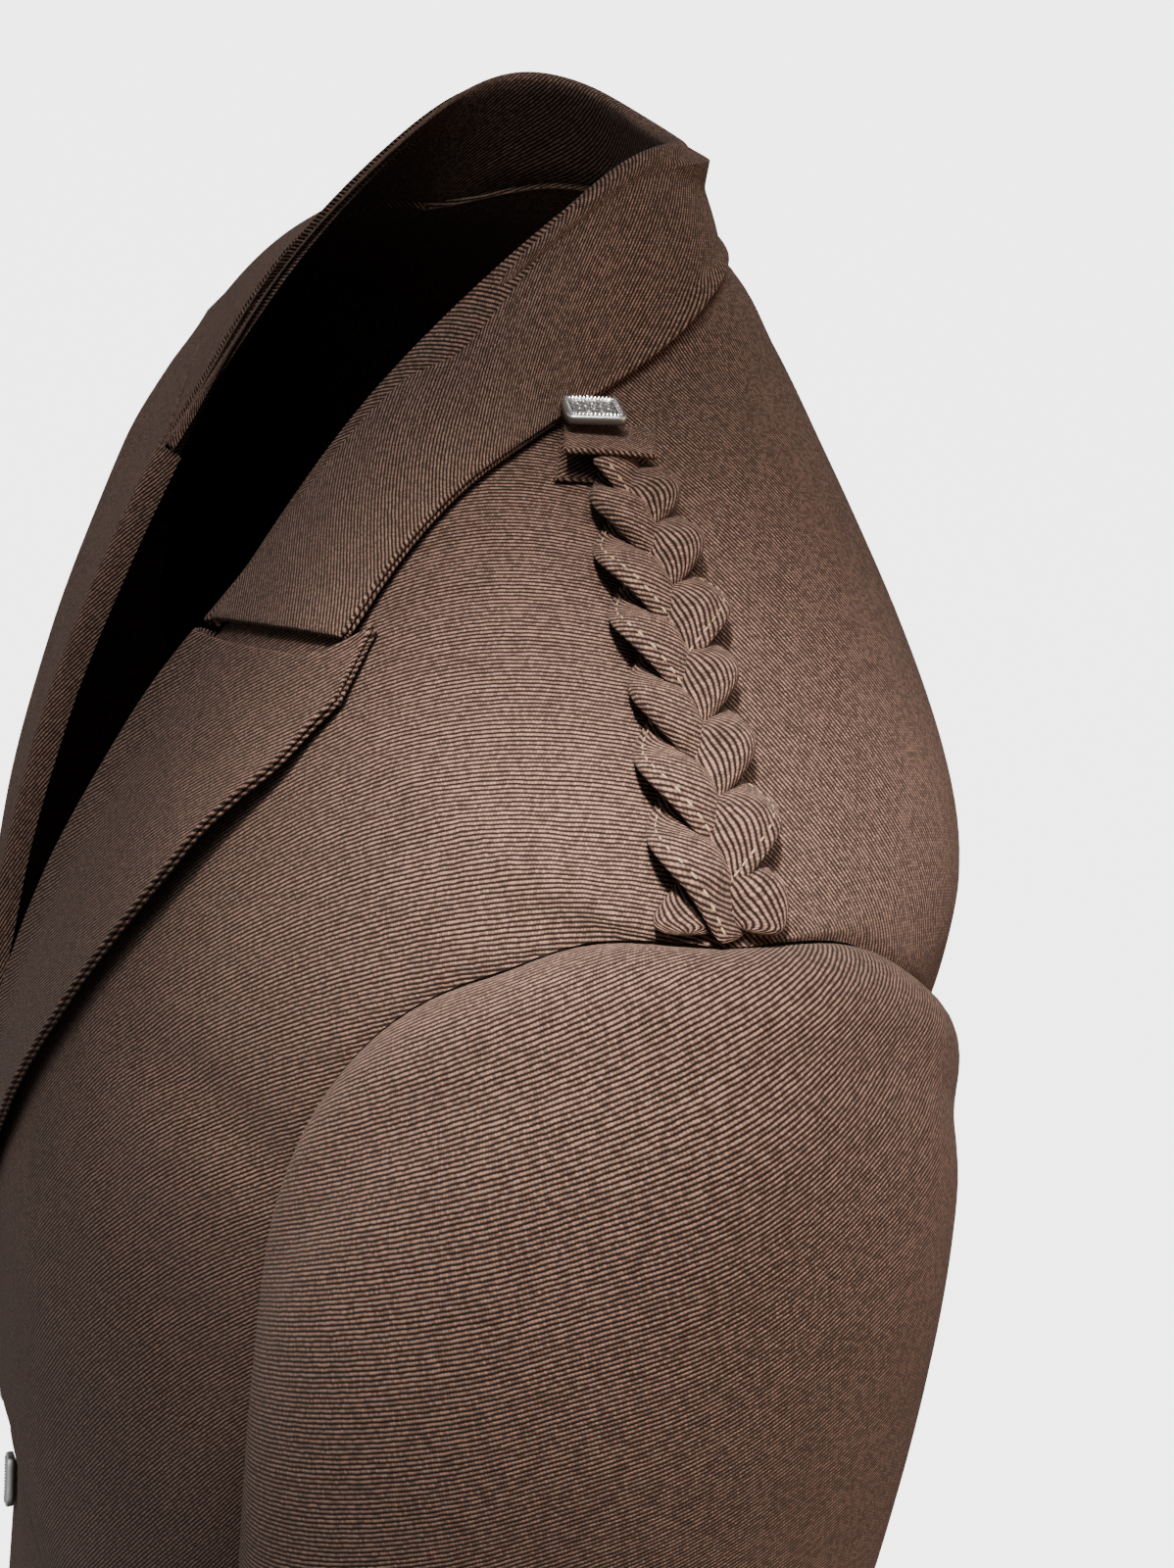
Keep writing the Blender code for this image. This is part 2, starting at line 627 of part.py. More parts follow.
def make_strand(name, rings, material):
    """A closed tube through the rings."""
    stations, sides = rings.shape[:2]
    vertices = np.concatenate([rings.reshape(-1, 3), rings[:1].mean(axis=1), rings[-1:].mean(axis=1)])
    quads = grid_faces(stations, sides, wrap=True)
    turned = turned_out(vertices, quads)
    flip = not np.array_equal(turned, quads)
    start, end = stations * sides, stations * sides + 1
    caps = []
    for i in range(sides):
        j = (i + 1) % sides
        last = (stations - 1) * sides
        caps.append([start, j, i] if not flip else [start, i, j])
        caps.append([end, last + i, last + j] if not flip else [end, last + j, last + i])
    mesh_object(name, vertices, turned.tolist() + caps, material)


def tab_points():
    """Outer face of the left tab: along the shoulder, round the fold and back on top."""
    length = TAB_OUTER - TAB_FOLD - TAB_RADIUS
    along = [0.0, length * 0.5, length]
    above = [0.0, 0.0, 0.0]
    for a in np.radians((30, 60, 90, 120, 150)):
        along.append(length + TAB_RADIUS * math.sin(a))
        above.append(TAB_RADIUS * (1 - math.cos(a)))
    along += list(length * TAB_TOP["along"])
    above += list(TAB_TOP["height"])
    base, up = shoulder_line(TAB_OUTER - np.array(along))
    profile = base + up * (SEAM + np.array(above))[:, None]
    profile[:, 1] += TAB_BACK + TAB_SKEW * np.array(along) / length
    across = np.linspace(-TAB_WIDTH / 2, TAB_WIDTH / 2, 5)
    return profile[None, :] + across[:, None, None] * np.array([0.0, 1.0, 0.0])


def square_button(name, size, centre, normal, along, material):
    """A square metal button: bevelled body with a raised rim round a sunk field."""
    normal = unit(np.array(normal))
    along = np.array(along) - normal * np.dot(along, normal)
    along = unit(along)
    across = np.cross(normal, along)
    points = []
    for reach, level in BUTTON_PROFILE:
        for a, b in ((1, 1), (-1, 1), (-1, -1), (1, -1)):
            points.append(centre + size * (reach * (a * along + b * across) + level * normal))
    points.append(centre + size * BUTTON_FIELD * normal)
    points.append(np.array(centre, float))
    points = np.array(points)
    quads = grid_faces(len(BUTTON_PROFILE), 4, wrap=True)
    last = (len(BUTTON_PROFILE) - 1) * 4
    top, bottom = len(points) - 2, len(points) - 1
    caps = [[last + i, last + (i + 1) % 4, top] for i in range(4)]
    caps += [[(i + 1) % 4, i, bottom] for i in range(4)]
    item = mesh_object(name, points, quads.tolist() + caps, material)
    item.data.shade_flat()


def make_epaulettes(twill, metal):
    for strand in range(STRANDS):
        rings = strand_rings(strand)
        make_strand(f"epaulette_left_strand_{strand + 1}", rings, twill)
        make_strand(f"epaulette_right_strand_{strand + 1}", mirrored(rings), twill)
    tab = tab_points()
    inside = tab.mean(axis=(0, 1))
    folded("epaulette_left_tab", tab, TAB_WALL, inside, slice(None), twill)
    folded("epaulette_right_tab", mirrored(tab), TAB_WALL, mirrored(inside), slice(None), twill)
    for side, flip in (("left", 1.0), ("right", -1.0)):
        turned_over = np.array([flip, 1.0, 1.0])
        square_button(f"epaulette_button_{side}", SHOULDER_BUTTON,
                      SHOULDER_BUTTON_PLACE * turned_over, SHOULDER_BUTTON_FACE * turned_over,
                      SHOULDER_BUTTON_EDGE * turned_over, metal)


def make_front_buttons(metal):
    for number, height in enumerate(FRONT_BUTTON_HEIGHTS, 1):
        out = CLOTH + 2 * SEAM + BUTTON_CLEARANCE
        centre, normal = body(math.radians(FRONT_BUTTON_TURN), height, out)
        square_button(f"front_button_{number}", FRONT_BUTTON, centre, normal, FRONT_BUTTON_EDGE,
                      metal)


def make_material(name):
    colour, roughness, metallic = COLOURS[name]
    material = bpy.data.materials.new(name)
    material.use_nodes = True
    shader = material.node_tree.nodes["Principled BSDF"]
    shader.inputs["Base Color"].default_value = colour
    shader.inputs["Roughness"].default_value = roughness
    shader.inputs["Metallic"].default_value = metallic
    return material


def main():
    for item in list(bpy.data.objects):
        bpy.data.objects.remove(item, do_unlink=True)
    jacket = bpy.data.collections.new("kilt_jacket")
    bpy.context.scene.collection.children.link(jacket)
    twill = make_material("cloth")
    metal = make_material("metal")
    make_fronts(twill)
    make_backs(twill)
    make_lapels(twill)
    make_collar(twill)
    make_sleeves(twill)
    make_epaulettes(twill, metal)
    make_front_buttons(metal)


main()
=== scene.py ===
import math

import bpy
import numpy as np
from bpy.props import FloatProperty, FloatVectorProperty, PointerProperty
from mathutils import Matrix, Vector


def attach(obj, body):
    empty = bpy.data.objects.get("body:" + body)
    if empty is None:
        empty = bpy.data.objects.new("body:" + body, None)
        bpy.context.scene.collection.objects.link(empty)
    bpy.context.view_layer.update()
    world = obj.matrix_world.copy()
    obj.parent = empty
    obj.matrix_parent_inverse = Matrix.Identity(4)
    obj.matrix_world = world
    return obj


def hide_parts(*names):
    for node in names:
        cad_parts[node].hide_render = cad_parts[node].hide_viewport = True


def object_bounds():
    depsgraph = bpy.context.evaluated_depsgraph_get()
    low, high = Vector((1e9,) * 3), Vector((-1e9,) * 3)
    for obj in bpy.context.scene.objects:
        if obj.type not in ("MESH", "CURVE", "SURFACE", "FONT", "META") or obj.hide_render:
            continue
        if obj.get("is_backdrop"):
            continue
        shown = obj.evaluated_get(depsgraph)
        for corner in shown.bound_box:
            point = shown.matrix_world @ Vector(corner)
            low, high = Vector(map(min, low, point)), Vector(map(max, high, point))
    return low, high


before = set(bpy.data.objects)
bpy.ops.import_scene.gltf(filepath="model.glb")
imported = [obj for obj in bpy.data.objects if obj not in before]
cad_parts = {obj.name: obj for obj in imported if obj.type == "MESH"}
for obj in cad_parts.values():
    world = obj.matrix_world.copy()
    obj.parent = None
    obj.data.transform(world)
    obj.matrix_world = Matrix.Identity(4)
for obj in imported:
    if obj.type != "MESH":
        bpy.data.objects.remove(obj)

CAD_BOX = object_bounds()

bl_info = {
    "name": "Kilt jacket",
    "version": (1, 0, 0),
    "blender": (4, 5, 0),
    "location": "View3D > Sidebar > Kilt jacket",
    "description": "A kilt jacket in brown wool twill with braided epaulettes and square buttons",
    "category": "Object",
}


def table(columns, *rows):
    """A table as one array for each named column; the first column is the key."""
    return {name: np.array(values, float) for name, values in zip(columns.split(), zip(*rows))}


# Body of the jacket
SEAM = 0.0003
NECK_HALF, SHOULDER_HALF, SHOULDER_DROP = 0.0851, 0.2222, 0.0561
BACK_NECK_RISE, HEM, SECTION_POWER = 0.022, -0.640, 2.6

SECTIONS = table(
    "height half_width front_depth back_depth middle_y corner",
    (BACK_NECK_RISE, 0.0530, 0.0280, 0.0430, 0.008, 0.0),
    (0.0140, 0.0680, 0.0300, 0.0590, 0.008, 0.0),
    (0.0000, NECK_HALF, 0.0340, 0.0700, 0.008, 0.0),
    (-0.0187, 0.1308, 0.0437, 0.0810, 0.007, 0.0),
    (-0.0374, 0.1765, 0.0525, 0.0910, 0.006, 0.0025),
    (-SHOULDER_DROP, SHOULDER_HALF, 0.0615, 0.0990, 0.006, 0.0090),
    (-0.0750, 0.2200, 0.0705, 0.1060, 0.005, 0.0010),
    (-0.1100, 0.2150, 0.0850, 0.1132, 0.004, 0.0),
    (-0.1600, 0.2050, 0.1010, 0.1165, 0.002, 0.0),
    (-0.2150, 0.1920, 0.1120, 0.1150, 0.000, 0.0),
    (-0.2620, 0.1820, 0.1180, 0.1110, 0.000, 0.0),
    (-0.3400, 0.1760, 0.1180, 0.1010, 0.001, 0.0),
    (-0.4300, 0.1640, 0.1110, 0.0920, 0.003, 0.0),
    (-0.5400, 0.1780, 0.1170, 0.1030, 0.004, 0.0),
    (-0.6600, 0.1900, 0.1270, 0.1150, 0.004, 0.0),
)
CORNER_TURN = 26.0
UNDERARM, ARMHOLE_FRONT, ARMHOLE_BACK = -0.262, 0.062, 0.0825
UNDERARM_SHARE, GORGE_SHARE, BREAK_SHARE, NECK_SHARE = 0.46, 0.25, 0.66, 0.22

# Inner edges of the panels, the turn in degrees
FRONT_EDGE = table(
    "share height turn",
    (0.00, 0.000, 0.0), (0.05, -0.0037, 30.0), (0.10, -0.0125, 48.0), (0.15, -0.0309, 62.0),
    (0.20, -0.0520, 69.5), (GORGE_SHARE, -0.0775, 73.5), (0.37, -0.150, 77.5), (0.50, -0.250, 82.3),
    (BREAK_SHARE, -0.372, 87.6), (0.71, -0.408, 95.6), (0.77, -0.460, 96.3),
    (0.83, -0.510, 91.0), (0.89, -0.555, 80.0), (0.95, -0.600, 61.0), (1.00, HEM, 36.0),
)
BACK_EDGE = table(
    "share height turn",
    (0.00, 0.000, 0.0), (0.08, 0.0165, -35.0), (0.16, 0.0207, -65.0),
    (NECK_SHARE, BACK_NECK_RISE, -90.0), (0.46, -0.200, -90.0), (1.00, HEM, -90.0),
)
LAP_TURN, LAP_TURN_SPAN, LAP_TOP, LAP_SPAN = 66.0, 14.0, 0.325, 0.040

# Lapel: outer edge, then how far the roll and the edge stand off
NOTCH_HEIGHT, NOTCH_TURN = -0.0502, 54.7
LAPEL_EDGE = table(
    "share height turn",
    (0.00, -0.0427, 50.2), (0.05, -0.0556, 53.3), (0.10, -0.0650, 54.6), (0.15, -0.0730, 55.4),
    (0.25, -0.0905, 57.2), (0.35, -0.1100, 58.8), (0.55, -0.1700, 64.0), (0.75, -0.2500, 72.0),
    (0.90, -0.3200, 80.0), (1.00, -0.3680, 86.2),
)
LAPEL_STAND = table(
    "share roll_height edge_lift",
    (0.00, 0.0055, 0.0000), (0.12, 0.0060, 0.0015), (0.30, 0.0060, 0.0050),
    (0.60, 0.0048, 0.0045), (0.85, 0.0036, 0.0015), (1.00, 0.0030, 0.0000),
)
ROLL_REACH, LAPEL_GAP = 0.22, 0.0009
HOOK_SHARES = (0.0, 0.12, 0.25, 0.38, 0.50, 0.62, 0.74, 0.86, 0.95)

# Collar: seam, fold (x, y, z) and outer edge from the centre back to the gorge
COLLAR_SEAM = table(
    "share turn",
    (0.00, -90.0), (0.16, -65.0), (0.30, -35.0), (0.45, 0.0), (0.62, 34.0), (0.70, 48.0),
    (0.80, 60.5), (0.90, 69.5), (1.00, 73.4),
)
COLLAR_FOLD = table(
    "share x y z",
    (0.00, 0.0000, 0.0490, 0.0425), (0.12, 0.0230, 0.0460, 0.0435),
    (0.24, 0.0425, 0.0370, 0.0460), (0.34, 0.0550, 0.0260, 0.0455),
    (0.45, 0.0645, 0.0115, 0.0375), (0.55, 0.0685, -0.0040, 0.0225),
    (0.66, 0.0690, -0.0200, 0.0035), (0.78, 0.0680, -0.0380, -0.0215),
    (0.90, 0.0650, -0.0550, -0.0515), (1.00, 0.0620, -0.0700, -0.0760),
)
COLLAR_EDGE = table(
    "share height turn",
    (0.00, 0.0175, -90.0), (0.14, 0.0170, -65.0), (0.27, 0.0149, -39.0), (0.31, 0.0117, -30.5),
    (0.355, 0.0067, -22.5), (0.40, 0.0031, -14.5), (0.46, -0.0022, -2.3), (0.53, -0.0061, 10.6),
    (0.63, -0.0108, 24.1), (0.74, -0.0172, 35.5), (0.90, -0.0336, 48.5),
    (1.00, NOTCH_HEIGHT, NOTCH_TURN),
)
FOLD_RADIUS, FALL_SPRING, STAND_TUCK, COLLAR_EASE, FALL_EASE = 0.0030, 0.0025, 0.0013, 36, 12

# Sleeve rings: x, y, z, half across, half along
UPPER_RING = (0.2275, 0.0035, -0.270, 0.0395, 0.0708)
ELBOW_RING = (0.2360, 0.0030, -0.400, 0.0440, 0.0670)
CUFF_RING = (0.2430, -0.0420, -0.628, 0.0370, 0.0540)
RING_POWER, RING_TILT, CAP_REACH, CAP_RISE = 2.2, 0.035, 0.0406, 0.012
UNDERARM_CLEAR = 0.0006
FRONT_SEAM_TURN, BACK_SEAM_TURN, SLEEVE_SEAM_TURN = 108.0, -120.0, 0.2

# Braid: three padded tubes, the middle of the braid leaning back by the table
BRAID_START, BRAID_END = 0.2190, 0.1180
BRAID_LEAN = table("share back", (0.00, -0.0016), (0.20, 0.0010), (0.45, 0.0030), (0.65, 0.0042),
                   (1.00, 0.0042))
STRAND_LOW, STRAND_RISE, STRAND_ROLL = 0.0026, 0.0044, 24.0
PLAIT_TURNS, PLAIT_PHASE, STRANDS = 2.1, 0.12, 3
HEM_SIDES, HEM_REACH, HEM_SPREAD = (-1, -1, 1), 0.0016, 0.38

# Tab and buttons
TAB_WIDTH, TAB_BACK, TAB_SKEW, TAB_WALL, TAB_RADIUS = 0.0200, -0.0015, 0.0035, 0.0013, 0.0024
TAB_OUTER, TAB_FOLD, TAB_CROWN = 0.1165, 0.1024, 0.0005
TAB_TOP = table("along height", (1.0, 0.0048), (0.6, 0.0067), (0.3, 0.0081), (0.0, 0.0092))
SHOULDER_BUTTON_PLACE = (0.1075, 0.0050, -0.0013)
SHOULDER_BUTTON_FACE, SHOULDER_BUTTON_EDGE = (0.0, -0.09, 1.0), (0.98, -0.13, 0.0)
FRONT_BUTTON_HEIGHTS, FRONT_BUTTON_TURN, FRONT_BUTTON_EDGE = (-0.405, -0.465), 90.0, (0.7, 0.0, 0.7)
BUTTON_CLEARANCE = 0.0006
# Button: power of its outline, level of its sunk field, beads on a side, lattice lines in a side
BUTTON_POWER, BUTTON_FIELD, BUTTON_BEADS, BUTTON_WAVES = 9, 0.160, 13, 4.2

# Soft lines pressed into the body: turn and height at both ends, width, depth
FRONT_FOLDS = (
    (57, -0.153, 31, -0.147, 0.0105, -0.0030),
    (60, -0.178, 34, -0.232, 0.0130, -0.0012),
    (24, -0.245, 40, -0.330, 0.0120, -0.0020),
    (90, -0.402, 58, -0.365, 0.0090, -0.0018),
    (90, -0.410, 52, -0.432, 0.0085, -0.0022),
    (88, -0.420, 40, -0.500, 0.0110, -0.0014),
    (12, -0.400, 46, -0.425, 0.0100, -0.0018),
    (16, -0.520, 44, -0.560, 0.0140, 0.0014),
)
BACK_FOLDS = (
    (-34, -0.105, -30, -0.235, 0.0120, -0.0024),
    (-52, -0.150, -38, -0.262, 0.0140, 0.0014),
    (-14, -0.385, -48, -0.410, 0.0100, -0.0020),
    (-30, -0.440, -72, -0.415, 0.0090, -0.0018),
    (-62, -0.055, -88, -0.062, 0.0100, -0.0012),
    (-58, -0.330, -84, -0.372, 0.0120, -0.0013),
    (-40, -0.520, -56, -0.630, 0.0160, 0.0016),
)
# Short creases that run into the end of the braid
BRAID_CREASES = (
    (10, -0.0570, 27, -0.0610, 0.0034, -0.0009),
    (11, -0.0545, 24, -0.0540, 0.0032, 0.0007),
    (12, -0.0590, 30, -0.0680, 0.0036, 0.0009),
    (14, -0.0500, 26, -0.0470, 0.0036, -0.0006),
)
# The same along the sleeve: turn and share at both ends
SLEEVE_FOLDS = (
    (62, 0.80, 96, 1.30, 0.0110, -0.0020),
    (-92, 0.70, -70, 1.30, 0.0120, -0.0022),
    (48, 1.62, 118, 1.80, 0.0085, -0.0030),
    (60, 2.02, 140, 1.92, 0.0080, -0.0034),
    (40, 2.20, 128, 2.24, 0.0095, -0.0024),
    (20, 1.30, 84, 1.52, 0.0130, -0.0012),
    (-150, 1.30, -88, 1.62, 0.0110, -0.0020),
    (-160, 2.44, -96, 2.30, 0.0120, -0.0018),
    (-20, 2.50, 46, 2.66, 0.0140, -0.0012),
    (150, 1.20, 196, 1.44, 0.0090, -0.0018),
)

# Camera of the photograph
CAMERA_PLACE = (0.4343, -0.1110, 0.1053)
CAMERA_RIGHT = (0.27761, 0.94600, 0.16736)
CAMERA_UP = (-0.51757, 0.00051, 0.85564)
CAMERA_LENS = 38.18
FLOOR_HEIGHT, FLOOR_HALF = -1.45, 90.0

# Edges, the easing of the shoulder's crease, and the roll of the sleeve head with the dip below it
FREE_EDGE, RELAX, RELAX_SPAN, RELAX_WEIGHT = 0.0010, 12, 0.014, 0.6
HEAD_ROLL, HEAD_SHARE, HEAD_SPAN = 0.0022, 0.105, 0.075
HEAD_DIP, DIP_SHARE, DIP_SPAN = 0.0012, 0.235, 0.060

# Grain of each cut against the warp, and how far the folds of the right side lie from the left's
FRONT_GRAIN, BACK_GRAIN, LAPEL_GRAIN, SLEEVE_GRAIN = -15.4, 4.0, -20.0, 12.8
FRONT_SHIFTS, BACK_SHIFTS, SLEEVE_SHIFTS = (0.0, 0.011), (0.0, 0.013), (0.0, 0.14)
# Metres for a degree round the body, round its shoulder and round a sleeve, and for a sleeve's share
BODY_DEGREE, SHOULDER_DEGREE, SLEEVE_DEGREE, SLEEVE_LENGTH = 0.0022, 0.0013, 0.00095, 0.115

# Columns of the collar's rows: stand, then the fold's arc, then the fall
STAND_STEPS, ARC_STEPS, FALL_STEPS = 10, 9, 24
FALL_FIRST = STAND_STEPS + ARC_STEPS
# Faces round a strand, and the two of its rings' points that carry the stitches
STRAND_SIDES, STITCH_FRONT, STITCH_BACK = 40, 13, 27
MIRROR = {"left": np.array([1.0, 1.0, 1.0]), "right": np.array([-1.0, 1.0, 1.0])}


def number(name, description, default, **settings):
    """A length or share that a user would change."""
    return FloatProperty(name=name, description=description, default=default, **settings)


def colour(name, description, default):
    """A colour that a user would change."""
    return FloatVectorProperty(name=name, description=description, default=default, size=3,
                               subtype="COLOR", min=0.0, max=1.0)


class JacketSizes(bpy.types.PropertyGroup):
    """Sizes of the jacket's cloth and trimmings."""
    cloth: number("Cloth", "Thickness of the body's wall", 0.0020, unit="LENGTH")
    faced: number("Faced cloth", "Thickness of the collar and lapels", 0.0024, unit="LENGTH")
    folds: number("Folds", "How deep the folds are against their usual depth", 1.0,
                  subtype="FACTOR", min=0.0, max=2.0)
    pitch: number("Twill pitch", "Distance from one twill line to the next", 0.00094, unit="LENGTH")
    thread: number("Float length", "Length of one float along a line", 0.00066, unit="LENGTH")
    braid: number("Braid width", "Width of the plaited epaulette", 0.0232, unit="LENGTH")
    strand: number("Strand width", "Width of one strand of the braid", 0.0108, unit="LENGTH")
    plump: number("Strand thickness", "Thickness of one strand", 0.0052, unit="LENGTH")
    stitch: number("Stitch length", "Length of one stitch on the braid", 0.0017, unit="LENGTH")
    small_button: number("Shoulder button", "Side of the shoulder button", 0.0130, unit="LENGTH")
    front_button: number("Front button", "Side of the front button", 0.0180, unit="LENGTH")


class JacketColours(bpy.types.PropertyGroup):
    """Colours of the jacket and of the stage."""
    ridge: colour("Twill ridge", "Top of a twill line", (0.140, 0.084, 0.064))
    # The groove colour is painted shade: it darkens the grooves between the twill lines, where shade falls.
    groove: colour("Twill groove", "Between two twill lines", (0.0085, 0.0045, 0.0034))
    tint: colour("Yarn tint", "Warm fibres that show here and there", (0.210, 0.110, 0.064))
    thread: colour("Stitching", "Thread along the strands", (0.300, 0.215, 0.120))
    metal: colour("Button metal", "Raised parts of the buttons", (0.86, 0.85, 0.83))
    tarnish: colour("Button tarnish", "Sunk parts of the buttons", (0.16, 0.15, 0.14))
    floor: colour("Floor", "Floor of the stage", (0.93, 0.93, 0.93))


def sizes():
    return bpy.context.scene.jacket_sizes


def colours():
    return bpy.context.scene.jacket_colours


# Shapes


def through(rows, column, at):
    """Monotone cubic through one column of a table: each span is a Hermite cubic whose end
    slopes are the weighted harmonic means of the slopes beside them."""
    keys, values = next(iter(rows.values())), rows[column]
    if keys[0] > keys[-1]:
        keys, values = keys[::-1], values[::-1]
    step = np.diff(keys)
    slope = np.diff(values) / step
    tangent = np.concatenate([slope[:1], np.zeros(len(keys) - 2), slope[-1:]])
    same_sign = slope[:-1] * slope[1:] > 0
    first, last = 2 * step[1:] + step[:-1], step[1:] + 2 * step[:-1]
    safe = np.where(same_sign, slope[:-1], 1.0), np.where(same_sign, slope[1:], 1.0)
    mean = (first + last) / (first / safe[0] + last / safe[1])
    tangent[1:-1] = np.where(same_sign, mean, 0.0)
    at = np.clip(np.asarray(at, float), keys[0], keys[-1])
    left = np.clip(np.searchsorted(keys, at, side="right") - 1, 0, len(keys) - 2)
    t = (at - keys[left]) / step[left]
    return (
        (2 * t**3 - 3 * t**2 + 1) * values[left]
        + (t**3 - 2 * t**2 + t) * step[left] * tangent[left]
        + (3 * t**2 - 2 * t**3) * values[left + 1]
        + (t**3 - t**2) * step[left] * tangent[left + 1]
    )


def smooth(value):
    """0 below 0, 1 above 1, and 3 v squared minus 2 v cubed between."""
    value = np.clip(value, 0.0, 1.0)
    return value * value * (3 - 2 * value)


def unit(vectors):
    """Each vector over its length."""
    return vectors / np.maximum(np.linalg.norm(vectors, axis=-1, keepdims=True), 1e-12)


def superellipse(c, s, power):
    """How far a superellipse's point lies out along (c, s): one over the power-norm of the two."""
    return (np.abs(c) ** power + np.abs(s) ** power) ** (-1 / power)


def bent(start, pull, end, t):
    """Parabola from start to end, drawn towards pull, at the share t."""
    return (1 - t) ** 2 * start + 2 * t * (1 - t) * pull + t * t * end


def half_width(turn, height):
    """Half width of a ring: straight along the shoulder, by the table elsewhere, less the
    rounding of the corner, which grows with the turn away from the shoulder seam."""
    slope = np.clip(-height / SHOULDER_DROP, 0, 1)
    straight = NECK_HALF + (SHOULDER_HALF - NECK_HALF) * slope
    on_shoulder = (height < 0) & (height > -SHOULDER_DROP)
    corner = through(SECTIONS, "corner", height) * smooth(np.abs(np.degrees(turn)) / CORNER_TURN)
    return np.where(on_shoulder, straight, through(SECTIONS, "half_width", height)) - corner


def body_depth(ahead, height):
    """Depth of the ring: the front's where ahead is above 0, else the back's."""
    front, back = through(SECTIONS, "front_depth", height), through(SECTIONS, "back_depth", height)
    return np.where(ahead > 0, front, back)


def body_point(turn, height):
    """Superellipse ring at each height: half width times cos, depth times sin, both over the
    2.6-norm of (cos, sin)."""
    half = half_width(turn, height)
    c, s = np.cos(turn), np.sin(turn)
    radius = superellipse(c, s, SECTION_POWER)
    y = through(SECTIONS, "middle_y", height) - body_depth(s, height) * radius * s
    return np.stack([half * radius * c, y, height], axis=-1)


def body(turn, height, out=0.0):
    """The ring surface moved out along its normal, which is the cross product of the steps
    round and down."""
    turn, height = np.broadcast_arrays(np.asarray(turn, float), np.asarray(height, float))
    nudge = 1e-4
    points = body_point(turn, height)
    around = body_point(turn + nudge, height) - body_point(turn - nudge, height)
    down = body_point(turn, height - nudge) - body_point(turn, height + nudge)
    normals = unit(np.cross(around, down))
    away = points - np.stack([0 * turn, 0 * turn, height - 0.1], axis=-1)
    normals *= np.sign((normals * away).sum(axis=-1, keepdims=True))
    return points + normals * np.asarray(out)[..., None], normals


def clear_of_body(points, distance):
    """The points, moved out where they are nearer the body than the distance."""
    x, y, z = points[..., 0], points[..., 1], points[..., 2]
    ahead = through(SECTIONS, "middle_y", z) - y
    turn = np.arctan2(ahead / body_depth(ahead, z), np.abs(x) / through(SECTIONS, "half_width", z))
    nearest, normals = body(turn, z)
    short = distance - ((points - nearest) * normals).sum(axis=-1)
    return points + normals * (0.5 * (short + np.sqrt(short**2 + 0.0004**2)))[..., None]


def armhole(phi):
    """Armhole seam: an ellipse in height and depth, laid on the body; phi is 0 at the shoulder."""
    middle = (UNDERARM - SHOULDER_DROP) / 2
    height = middle - (UNDERARM + SHOULDER_DROP) / 2 * np.cos(phi)
    s = np.sin(phi)
    reach = np.where(s > 0, ARMHOLE_FRONT, ARMHOLE_BACK) * np.abs(s)
    share = np.clip(reach / body_depth(s, height), 0.0, 0.98)
    across = (1 - share**SECTION_POWER) ** (1 / SECTION_POWER)
    return np.arctan2(share, across) * np.sign(s), height


def panel(rows, side, down, across):
    """Turn and height on a panel: straight lines in turn and height from the inner edge's table
    to the outer edge, which is the armhole and then the side seam."""
    down, across = np.meshgrid(down, across, indexing="ij")
    inner_height, inner_turn = through(rows, "height", down), np.radians(through(rows, "turn", down))
    turn, height = armhole(side * np.pi * np.clip(down / UNDERARM_SHARE, 0, 1))
    below = np.clip((down - UNDERARM_SHARE) / (1 - UNDERARM_SHARE), 0, 1)
    turn = np.where(below > 0, 0.0, turn)
    height = np.where(below > 0, UNDERARM + (HEM - UNDERARM) * below, height)
    return inner_turn + (turn - inner_turn) * across, inner_height + (height - inner_height) * across


def lap(turn, height):
    """How far the left front stands out over the right one: a smooth step in turn times one in
    height."""
    step = smooth((np.degrees(turn) - LAP_TURN) / LAP_TURN_SPAN)
    return (sizes().cloth + 2 * SEAM) * step * smooth((-height - LAP_TOP) / LAP_SPAN)


def soft_lines(a, b, lines, scale_a, scale_b):
    """Sum of soft creases: across each line the depth follows (1 - d squared) times the bell of
    d, where d is the distance over the width, and it fades to both ends."""
    total = np.zeros(np.broadcast(a, b).shape)
    for a1, b1, a2, b2, width, depth in lines:
        x, y = (a - a1) * scale_a, (b - b1) * scale_b
        dx, dy = (a2 - a1) * scale_a, (b2 - b1) * scale_b
        length = math.hypot(dx, dy)
        along = (x * dx + y * dy) / length
        bend = 0.12 * length * np.sin(np.pi * np.clip(along / length, 0, 1))
        d = ((x * dy - y * dx) / length - bend) / width
        beyond = np.maximum(np.maximum(-along, along - length), 0) / (2 * width)
        fade = np.sin(np.pi * np.clip(along / length * 0.84 + 0.08, 0, 1)) ** 0.8
        total += depth * (1 - 0.6 * d * d) * np.exp(-d * d) * fade * np.exp(-beyond * beyond)
    return total * sizes().folds


def along_rows(points):
    """Running length along axis 1 and its total."""
    steps = np.linalg.norm(np.diff(points, axis=1), axis=-1)
    run = np.concatenate([np.zeros((len(points), 1)), np.cumsum(steps, axis=1)], axis=1)
    return run, run[:, -1:]


def edge_dip(points, sides, depth=0.0006, width=0.0016):
    """How far the cloth is pulled in beside its sewn edges: a bell of the distance to each.
    sides says first row, last row, first column, last column."""
    across, wide = along_rows(points)
    down, tall = along_rows(points.swapaxes(0, 1))
    down, tall = down.T, tall.T
    dip = np.zeros(points.shape[:2])
    for sewn, away in zip(sides, (down, tall - down, across, wide - across)):
        if sewn:
            dip = np.maximum(dip, np.exp(-((away / width) ** 2)))
    return depth * dip


